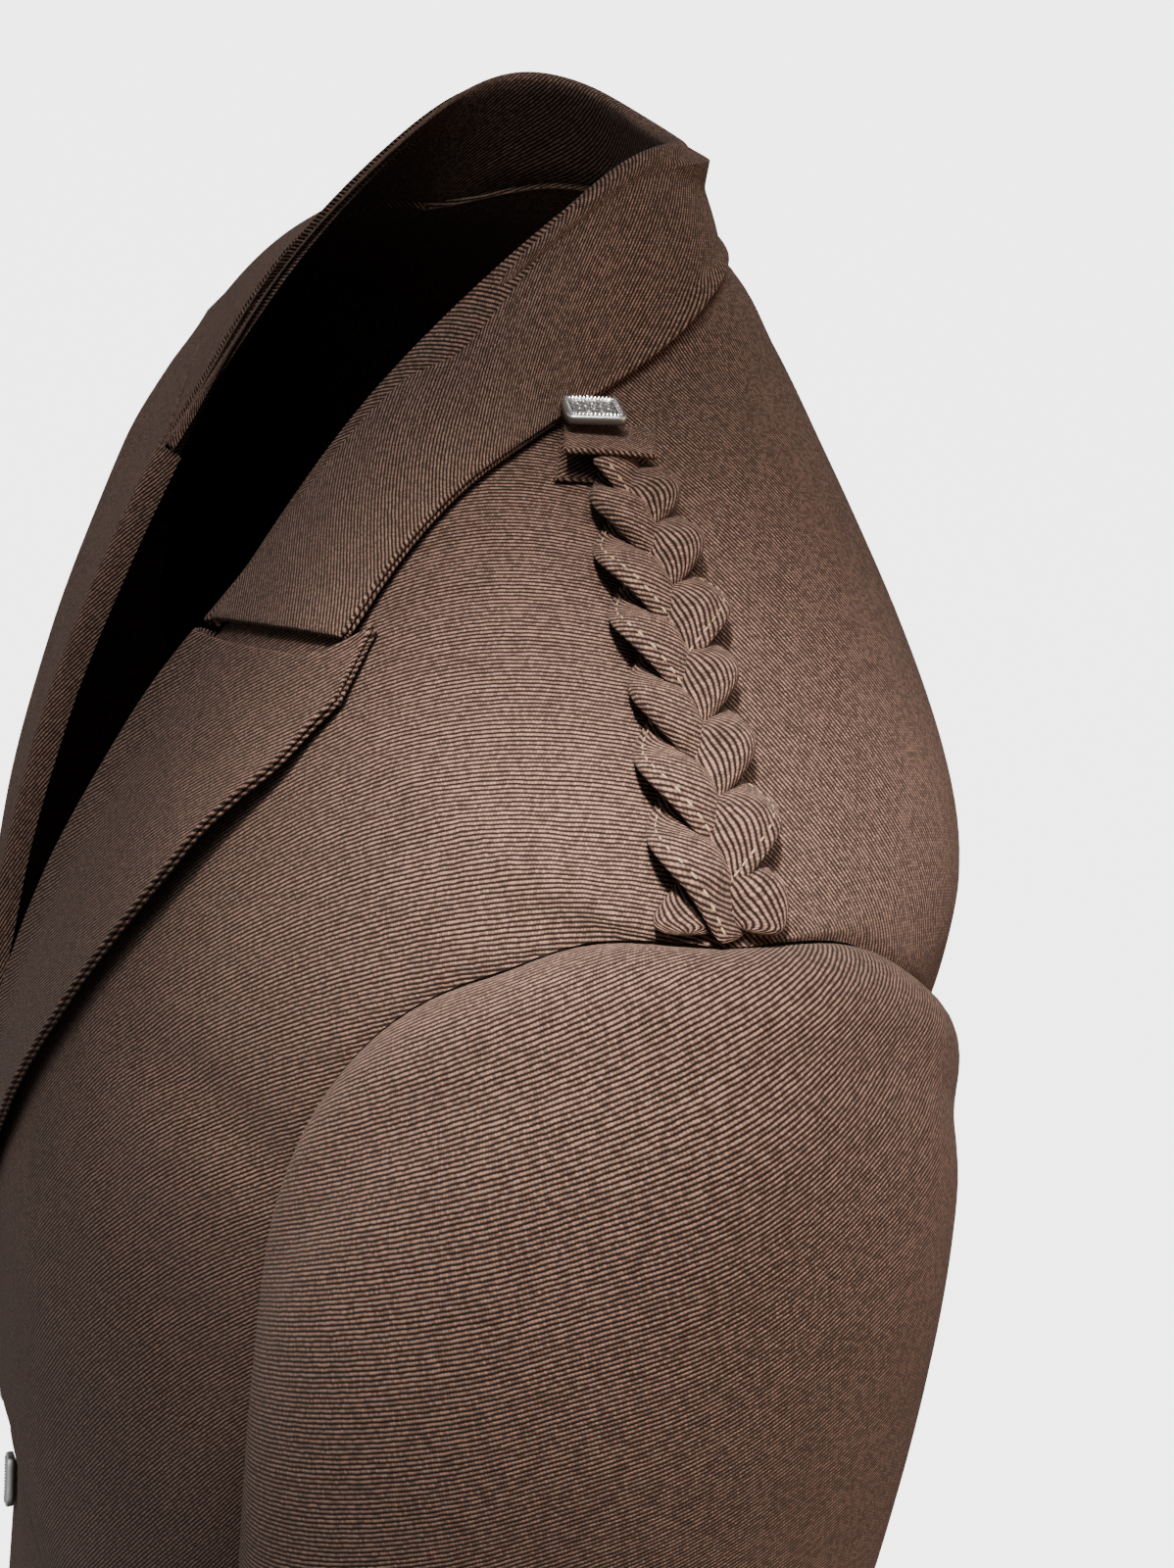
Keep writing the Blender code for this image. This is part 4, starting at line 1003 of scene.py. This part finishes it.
def square_profile():
    """Reach and level of the rings, as shares of the side: back, edge, beaded rim, sunk field."""
    profile = (
        (0.30, 0.000), (0.70, 0.000), (0.72, 0.004), (0.97, 0.050), (1.00, 0.075), (1.00, 0.150),
        (0.985, 0.185), (0.955, 0.200), (0.93, 0.200), (0.91, 0.190), (0.885, 0.192),
        (0.86, 0.206), (0.83, 0.212), (0.80, 0.206), (0.775, 0.192), (0.755, 0.172),
        (0.74, BUTTON_FIELD),
    )
    reach, level = np.array(profile).T
    return np.append(reach, np.linspace(0.72, 0.02, 30)), np.append(level, [BUTTON_FIELD] * 30)


def square_button(name, node, size, centre, normal, along, material):
    """A square button as rings round its middle: a superellipse of power 9 carries the profile
    from the back edge over a beaded rim to a sunk field with a woven lattice in relief."""
    normal = unit(np.array(normal))
    along = np.array(along) - normal * np.dot(along, normal)
    along = unit(along)
    across = np.cross(normal, along)
    reach, level = square_profile()
    around = np.linspace(0, 2 * np.pi, 360, endpoint=False)
    c, s = np.cos(around), np.sin(around)
    radius = superellipse(c, s, BUTTON_POWER)
    x = reach[:, None] * (radius * c)[None] / 2
    y = reach[:, None] * (radius * s)[None] / 2
    top = (np.arange(len(reach)) > 6)[:, None]
    bead_band = np.exp(-(((reach[:, None] - 0.83) / 0.035) ** 2)) * top
    side_run = np.where(np.abs(c) > np.abs(s), s / np.abs(c), c / np.abs(s))
    beads = np.abs(np.sin(side_run * np.pi * BUTTON_BEADS / 2))[None]
    z = level[:, None] + bead_band * (0.030 * beads - 0.012)
    field = smooth((0.72 - reach)[:, None] / 0.05)
    wave = 2 * np.pi * BUTTON_WAVES
    first, second = np.cos((x + y) * wave), np.cos((x - y) * wave)
    over = 0.5 + 0.5 * np.sign(np.sin(x * wave) * np.sin(y * wave))
    lattice = np.maximum(smooth(first * 2) * (0.7 + 0.3 * over), smooth(second * 2) * (1 - 0.3 * over))
    z = z + 0.034 * lattice * field
    points = centre + size * (x[..., None] * along + y[..., None] * across + z[..., None] * normal)
    rows, columns = points.shape[:2]
    v = np.concatenate([points.reshape(-1, 3), points[:1].mean(axis=1), points[-1:].mean(axis=1)])
    faces = grid_faces(rows, columns, wrap=True).tolist() + end_caps(rows, columns, columns)
    item = make_mesh(name, v, faces, None, 50)
    sunk = np.concatenate([(np.clip((z - 0.150) / 0.05, 0, 1)).ravel(), [0.0, 0.5]])
    relief = item.data.attributes.new("relief", "FLOAT", "POINT")
    relief.data.foreach_set("value", sunk.astype(np.float32))
    dressed(item, material, node)


def make_shoulder_buttons():
    """A square button on each folded tab."""
    for side, flip in MIRROR.items():
        square_button(f"shoulder_button_{side}", f"epaulette_button_{side}", sizes().small_button,
                      SHOULDER_BUTTON_PLACE * flip, SHOULDER_BUTTON_FACE * flip,
                      SHOULDER_BUTTON_EDGE * flip, button_metal())


def make_front_buttons():
    """Two square buttons down the front."""
    out = sizes().cloth + 2 * SEAM + BUTTON_CLEARANCE
    for count, height in enumerate(FRONT_BUTTON_HEIGHTS, 1):
        centre, normal = body(math.radians(FRONT_BUTTON_TURN), height, out)
        square_button(f"button_front_{count}", f"front_button_{count}", sizes().front_button,
                      centre, normal, FRONT_BUTTON_EDGE, button_metal())


# Materials


class Nodes:
    """Adds and joins the nodes of one tree."""

    def __init__(self, tree):
        self.tree = tree

    def add(self, kind, **settings):
        node = self.tree.nodes.new(kind)
        for name, value in settings.items():
            setattr(node, name, value)
        return node

    def put(self, value, target):
        if isinstance(value, (int, float, tuple)):
            target.default_value = value
        else:
            self.tree.links.new(value, target)

    def math(self, operation, *values, clamp=False):
        node = self.add("ShaderNodeMath", operation=operation, use_clamp=clamp)
        for value, target in zip(values, node.inputs):
            self.put(value, target)
        return node.outputs[0]

    def mix(self, share, first, second):
        node = self.add("ShaderNodeMix", data_type="RGBA")
        for value, target in ((share, 0), (first, 6), (second, 7)):
            self.put(value, node.inputs[target])
        return node.outputs[2]

    def noise(self, vector, scale, detail=3.0, roughness=0.5):
        node = self.add("ShaderNodeTexNoise")
        self.put(vector, node.inputs["Vector"])
        node.inputs["Scale"].default_value = scale
        node.inputs["Detail"].default_value = detail
        node.inputs["Roughness"].default_value = roughness
        return node.outputs["Fac"]

    def bump(self, height, strength, distance):
        node = self.add("ShaderNodeBump")
        node.inputs["Strength"].default_value = strength
        node.inputs["Distance"].default_value = distance
        self.put(height, node.inputs["Height"])
        return node.outputs[0]

    def ramp(self, value, low, high):
        node = self.add("ShaderNodeMapRange", interpolation_type="SMOOTHSTEP")
        self.put(value, node.inputs[0])
        node.inputs[1].default_value, node.inputs[2].default_value = low, high
        return node.outputs[0]


def weave_group():
    """Twill from a flat map in metres: lines run at 45 degrees, each made of short floats.
    Ridge is a cosine across the lines, Float a sine along them that shifts from line to line."""
    name = "twill weave"
    if name in bpy.data.node_groups:
        return bpy.data.node_groups[name]
    group = bpy.data.node_groups.new(name, "ShaderNodeTree")
    group.interface.new_socket(name="Vector", in_out="INPUT", socket_type="NodeSocketVector")
    for value, direction in (("Pitch", "INPUT"), ("Float", "INPUT"), ("Ridge", "OUTPUT"),
                             ("Height", "OUTPUT"), ("Yarn", "OUTPUT")):
        group.interface.new_socket(name=value, in_out=direction, socket_type="NodeSocketFloat")
    n = Nodes(group)
    entry, leave = n.add("NodeGroupInput"), n.add("NodeGroupOutput")
    diagonal = math.sqrt(0.5)
    vector = entry.outputs["Vector"]
    split = n.add("ShaderNodeSeparateXYZ")
    n.put(vector, split.inputs[0])
    u, v = split.outputs[0], split.outputs[1]
    wander = n.math("MULTIPLY", n.math("SUBTRACT", n.noise(vector, 260.0, 2.0), 0.5), 0.00042)
    across = n.math("ADD", n.math("MULTIPLY", n.math("SUBTRACT", u, v), diagonal), wander)
    along = n.math("MULTIPLY", n.math("ADD", u, v), diagonal)
    line = n.math("DIVIDE", across, entry.outputs["Pitch"])
    crest = n.math("MULTIPLY_ADD", n.math("COSINE", n.math("MULTIPLY", line, 2 * math.pi)), 0.5, 0.5)
    row = n.math("ROUND", line)
    step = n.math("ADD", n.math("DIVIDE", along, entry.outputs["Float"]), n.math("MULTIPLY", row, 0.37))
    bead = n.math("ABSOLUTE", n.math("SINE", n.math("MULTIPLY", step, math.pi)))
    bead = n.math("POWER", bead, 0.6)
    cell = n.add("ShaderNodeCombineXYZ")
    n.put(row, cell.inputs[0])
    n.put(n.math("FLOOR", step), cell.inputs[1])
    white = n.add("ShaderNodeTexWhiteNoise", noise_dimensions="2D")
    n.put(cell.outputs[0], white.inputs["Vector"])
    yarn = white.outputs["Value"]
    body_of_line = n.math("MULTIPLY", n.math("POWER", crest, 0.8), n.math("MULTIPLY_ADD", bead, 0.45, 0.55))
    uneven = n.math("MULTIPLY_ADD", yarn, 0.30, 0.80)
    fuzz = n.math("MULTIPLY", n.math("SUBTRACT", n.noise(vector, 3800.0, 2.0, 0.7), 0.5), 0.55)
    height = n.math("ADD", n.math("MULTIPLY", body_of_line, uneven), fuzz)
    # Ridge is also the mask of the painted shade that darkens the grooves between the lines.
    n.put(n.ramp(height, 0.18, 0.92), leave.inputs["Ridge"])
    n.put(height, leave.inputs["Height"])
    n.put(yarn, leave.inputs["Yarn"])
    return group


def principled(name):
    """A material with its Principled shader and a node adder."""
    material = bpy.data.materials.new(name)
    material.use_nodes = True
    tree = material.node_tree
    return material, tree.nodes["Principled BSDF"], Nodes(tree)


def twill():
    """Brown wool twill with a slight nap; the grooves between its lines are darkened with painted shade."""
    name = "brown wool twill"
    if name in bpy.data.materials:
        return bpy.data.materials[name]
    material, shader, n = principled(name)
    c, s = colours(), sizes()
    place = n.add("ShaderNodeTexCoord")
    weave = n.add("ShaderNodeGroup")
    weave.node_tree = weave_group()
    n.put(place.outputs["UV"], weave.inputs["Vector"])
    weave.inputs["Pitch"].default_value = s.pitch
    weave.inputs["Float"].default_value = s.thread
    space = place.outputs["Object"]
    heather = n.ramp(n.noise(place.outputs["UV"], 900.0, 3.0, 0.65), 0.42, 0.72)
    cloudy = n.noise(space, 22.0, 4.0, 0.6)
    ridge = n.mix(n.math("MULTIPLY", heather, 0.38), (*c.ridge, 1), (*c.tint, 1))
    # Painted shade: by the weave's Ridge mask the grooves get the dark groove colour and the ridges keep
    # the cloth's colour.
    base = n.mix(weave.outputs["Ridge"], (*c.groove, 1), ridge)
    yarn = n.math("MULTIPLY_ADD", weave.outputs["Yarn"], 0.5, 0.72)
    tone = n.math("MULTIPLY", yarn, n.math("MULTIPLY_ADD", cloudy, 0.5, 0.76))
    shade = n.add("ShaderNodeHueSaturation")
    n.put(base, shade.inputs["Color"])
    n.put(tone, shade.inputs["Value"])
    n.put(shade.outputs[0], shader.inputs["Base Color"])
    rough = n.math("MULTIPLY_ADD", weave.outputs["Ridge"], -0.12, 0.94)
    n.put(rough, shader.inputs["Roughness"])
    n.put(n.bump(weave.outputs["Height"], 0.8, 0.00030), shader.inputs["Normal"])
    shader.inputs["Sheen Weight"].default_value = 0.04
    shader.inputs["Sheen Roughness"].default_value = 0.45
    shader.inputs["Sheen Tint"].default_value = (0.85, 0.70, 0.62, 1)
    shader.inputs["Specular IOR Level"].default_value = 0.10
    return material


def stitching():
    """Tan sewing thread with a twist."""
    name = "tan thread"
    if name in bpy.data.materials:
        return bpy.data.materials[name]
    material, shader, n = principled(name)
    place = n.add("ShaderNodeTexCoord")
    fleck = n.noise(place.outputs["Object"], 2600.0, 2.0)
    dark = tuple(0.45 * value for value in colours().thread)
    n.put(n.mix(fleck, (*dark, 1), (*colours().thread, 1)), shader.inputs["Base Color"])
    shader.inputs["Roughness"].default_value = 0.7
    n.put(n.bump(fleck, 1.0, 0.0001), shader.inputs["Normal"])
    return material


def button_metal():
    """Silver-coloured metal, darker where it is sunk and brushed by wear."""
    name = "button metal"
    if name in bpy.data.materials:
        return bpy.data.materials[name]
    material, shader, n = principled(name)
    place = n.add("ShaderNodeTexCoord")
    relief = n.add("ShaderNodeAttribute", attribute_name="relief")
    grime = n.noise(place.outputs["Object"], 700.0, 4.0, 0.65)
    high = n.math("ADD", relief.outputs["Fac"], n.math("MULTIPLY", n.math("SUBTRACT", grime, 0.5), 0.5))
    share = n.ramp(high, 0.10, 0.62)
    c = colours()
    n.put(n.mix(share, (*c.tarnish, 1), (*c.metal, 1)), shader.inputs["Base Color"])
    n.put(n.math("MULTIPLY_ADD", share, -0.24, 0.46), shader.inputs["Roughness"])
    shader.inputs["Metallic"].default_value = 1.0
    worn = n.noise(place.outputs["Object"], 2400.0)
    n.put(n.bump(worn, 0.25, 0.0001), shader.inputs["Normal"])
    return material


def soft_light(name, kind, place, target, size, power, tone=(1.0, 1.0, 1.0)):
    """A soft light that looks at a point: a square of a size in metres, or a sun or a spot of
    an angle in degrees."""
    data = bpy.data.lights.new(name, kind)
    data.energy, data.color = power, tone
    if kind == "AREA":
        data.shape, data.size = "SQUARE", size
    elif kind == "SUN":
        data.angle = math.radians(size)
    else:
        data.spot_size, data.spot_blend, data.shadow_soft_size = math.radians(size), 1.0, 0.06
    item = bpy.data.objects.new(name, data)
    item.location = place
    item.rotation_euler = (Vector(target) - Vector(place)).to_track_quat("-Z", "Y").to_euler()
    bpy.context.scene.collection.objects.link(item)


def make_stage():
    """Floor, soft light and the photograph's camera."""
    scene = bpy.context.scene
    corners = [(-FLOOR_HALF, -FLOOR_HALF, FLOOR_HEIGHT), (FLOOR_HALF, -FLOOR_HALF, FLOOR_HEIGHT),
               (FLOOR_HALF, FLOOR_HALF, FLOOR_HEIGHT), (-FLOOR_HALF, FLOOR_HALF, FLOOR_HEIGHT)]
    floor = make_mesh("floor", np.array(corners), np.array([[0, 1, 2, 3]]))
    material, shader, n = principled("pale floor")
    place = n.add("ShaderNodeTexCoord")
    soft = n.noise(place.outputs["Object"], 3.0)
    pale = tuple(0.97 * value for value in colours().floor)
    n.put(n.mix(soft, (*pale, 1), (*colours().floor, 1)), shader.inputs["Base Color"])
    shader.inputs["Roughness"].default_value = 0.9
    shader.inputs["Emission Color"].default_value = (1.0, 1.0, 1.0, 1)
    shader.inputs["Emission Strength"].default_value = 3.0
    floor.data.materials.append(material)
    floor.visible_diffuse = floor.visible_glossy = False
    floor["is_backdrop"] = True
    world = bpy.data.worlds.new("soft studio")
    world.use_nodes = True
    sky = world.node_tree.nodes["Background"]
    sky.inputs[0].default_value = (0.96, 0.98, 1.0, 1)
    sky.inputs[1].default_value = 0.30
    scene.world = world
    soft_light("key", "SUN", (0.50, -0.22, 1.0), (0, 0, 0), 30, 4.0)
    soft_light("shoulder", "SPOT", (0.62, -0.42, 0.95), (0.193, -0.016, -0.062), 9, 420, (1.0, 0.93, 0.86))
    soft_light("warm side", "AREA", (1.3, 1.2, 0.2), (0.2, 0.05, -0.2), 1.0, 16, (1.0, 0.62, 0.36))
    camera = bpy.data.cameras.new("photograph")
    camera.lens, camera.sensor_width = CAMERA_LENS, 36.0
    camera.clip_start, camera.clip_end = 0.01, 300.0
    item = bpy.data.objects.new("photograph", camera)
    right, up = Vector(CAMERA_RIGHT).normalized(), Vector(CAMERA_UP).normalized()
    back = right.cross(up).normalized()
    up = back.cross(right).normalized()
    axes = Matrix((right, up, back)).transposed().to_4x4()
    item.matrix_world = Matrix.Translation(CAMERA_PLACE) @ axes
    scene.collection.objects.link(item)
    scene.camera = item


class JACKET_OT_fronts(bpy.types.Operator):
    """Make the two fronts with their folds"""
    bl_idname = "jacket.fronts"
    bl_label = "Fronts"

    def execute(self, context):
        make_fronts()
        return {"FINISHED"}


class JACKET_OT_backs(bpy.types.Operator):
    """Make the two backs with their folds"""
    bl_idname = "jacket.backs"
    bl_label = "Backs"

    def execute(self, context):
        make_backs()
        return {"FINISHED"}


class JACKET_OT_lapels(bpy.types.Operator):
    """Make the two lapels"""
    bl_idname = "jacket.lapels"
    bl_label = "Lapels"

    def execute(self, context):
        make_lapels()
        return {"FINISHED"}


class JACKET_OT_collar(bpy.types.Operator):
    """Make the collar round the neck"""
    bl_idname = "jacket.collar"
    bl_label = "Collar"

    def execute(self, context):
        make_collar()
        return {"FINISHED"}


class JACKET_OT_sleeves(bpy.types.Operator):
    """Make the top and under sleeves"""
    bl_idname = "jacket.sleeves"
    bl_label = "Sleeves"

    def execute(self, context):
        make_sleeves()
        return {"FINISHED"}


class JACKET_OT_epaulettes(bpy.types.Operator):
    """Make the braids with their stitching and tabs"""
    bl_idname = "jacket.epaulettes"
    bl_label = "Epaulettes"

    def execute(self, context):
        make_epaulettes()
        return {"FINISHED"}


class JACKET_OT_shoulder_buttons(bpy.types.Operator):
    """Make the square buttons on the tabs"""
    bl_idname = "jacket.shoulder_buttons"
    bl_label = "Shoulder buttons"

    def execute(self, context):
        make_shoulder_buttons()
        return {"FINISHED"}


class JACKET_OT_front_buttons(bpy.types.Operator):
    """Make the square buttons down the front"""
    bl_idname = "jacket.front_buttons"
    bl_label = "Front buttons"

    def execute(self, context):
        make_front_buttons()
        return {"FINISHED"}


class JACKET_OT_stage(bpy.types.Operator):
    """Make the floor, the lights and the camera"""
    bl_idname = "jacket.stage"
    bl_label = "Stage"

    def execute(self, context):
        make_stage()
        return {"FINISHED"}


OPERATORS = (
    JACKET_OT_fronts,
    JACKET_OT_backs,
    JACKET_OT_lapels,
    JACKET_OT_collar,
    JACKET_OT_sleeves,
    JACKET_OT_epaulettes,
    JACKET_OT_shoulder_buttons,
    JACKET_OT_front_buttons,
    JACKET_OT_stage,
)


class JACKET_PT_panel(bpy.types.Panel):
    """Lists the jacket's sizes, colours and pieces."""
    bl_label = "Kilt jacket"
    bl_idname = "JACKET_PT_panel"
    bl_space_type = "VIEW_3D"
    bl_region_type = "UI"
    bl_category = "Kilt jacket"

    def draw(self, context):
        for group in (context.scene.jacket_sizes, context.scene.jacket_colours):
            for name in group.__annotations__:
                self.layout.prop(group, name)
        for item in OPERATORS:
            self.layout.operator(item.bl_idname)


CLASSES = (JacketSizes, JacketColours, *OPERATORS, JACKET_PT_panel)


def register():
    for item in CLASSES:
        bpy.utils.register_class(item)
    bpy.types.Scene.jacket_sizes = PointerProperty(type=JacketSizes)
    bpy.types.Scene.jacket_colours = PointerProperty(type=JacketColours)


def unregister():
    del bpy.types.Scene.jacket_colours
    del bpy.types.Scene.jacket_sizes
    for item in reversed(CLASSES):
        bpy.utils.unregister_class(item)


def main():
    register()
    for item in OPERATORS:
        done = getattr(bpy.ops.jacket, item.bl_idname.split(".")[1])()
        if "FINISHED" not in done:
            raise RuntimeError(item.bl_label + " did not finish")
    boxes = {"cad": CAD_BOX, "visual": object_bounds()}
    boxes = {name: [list(map(float, corner)) for corner in box] for name, box in boxes.items()}


if __name__ == "__main__":
    main()
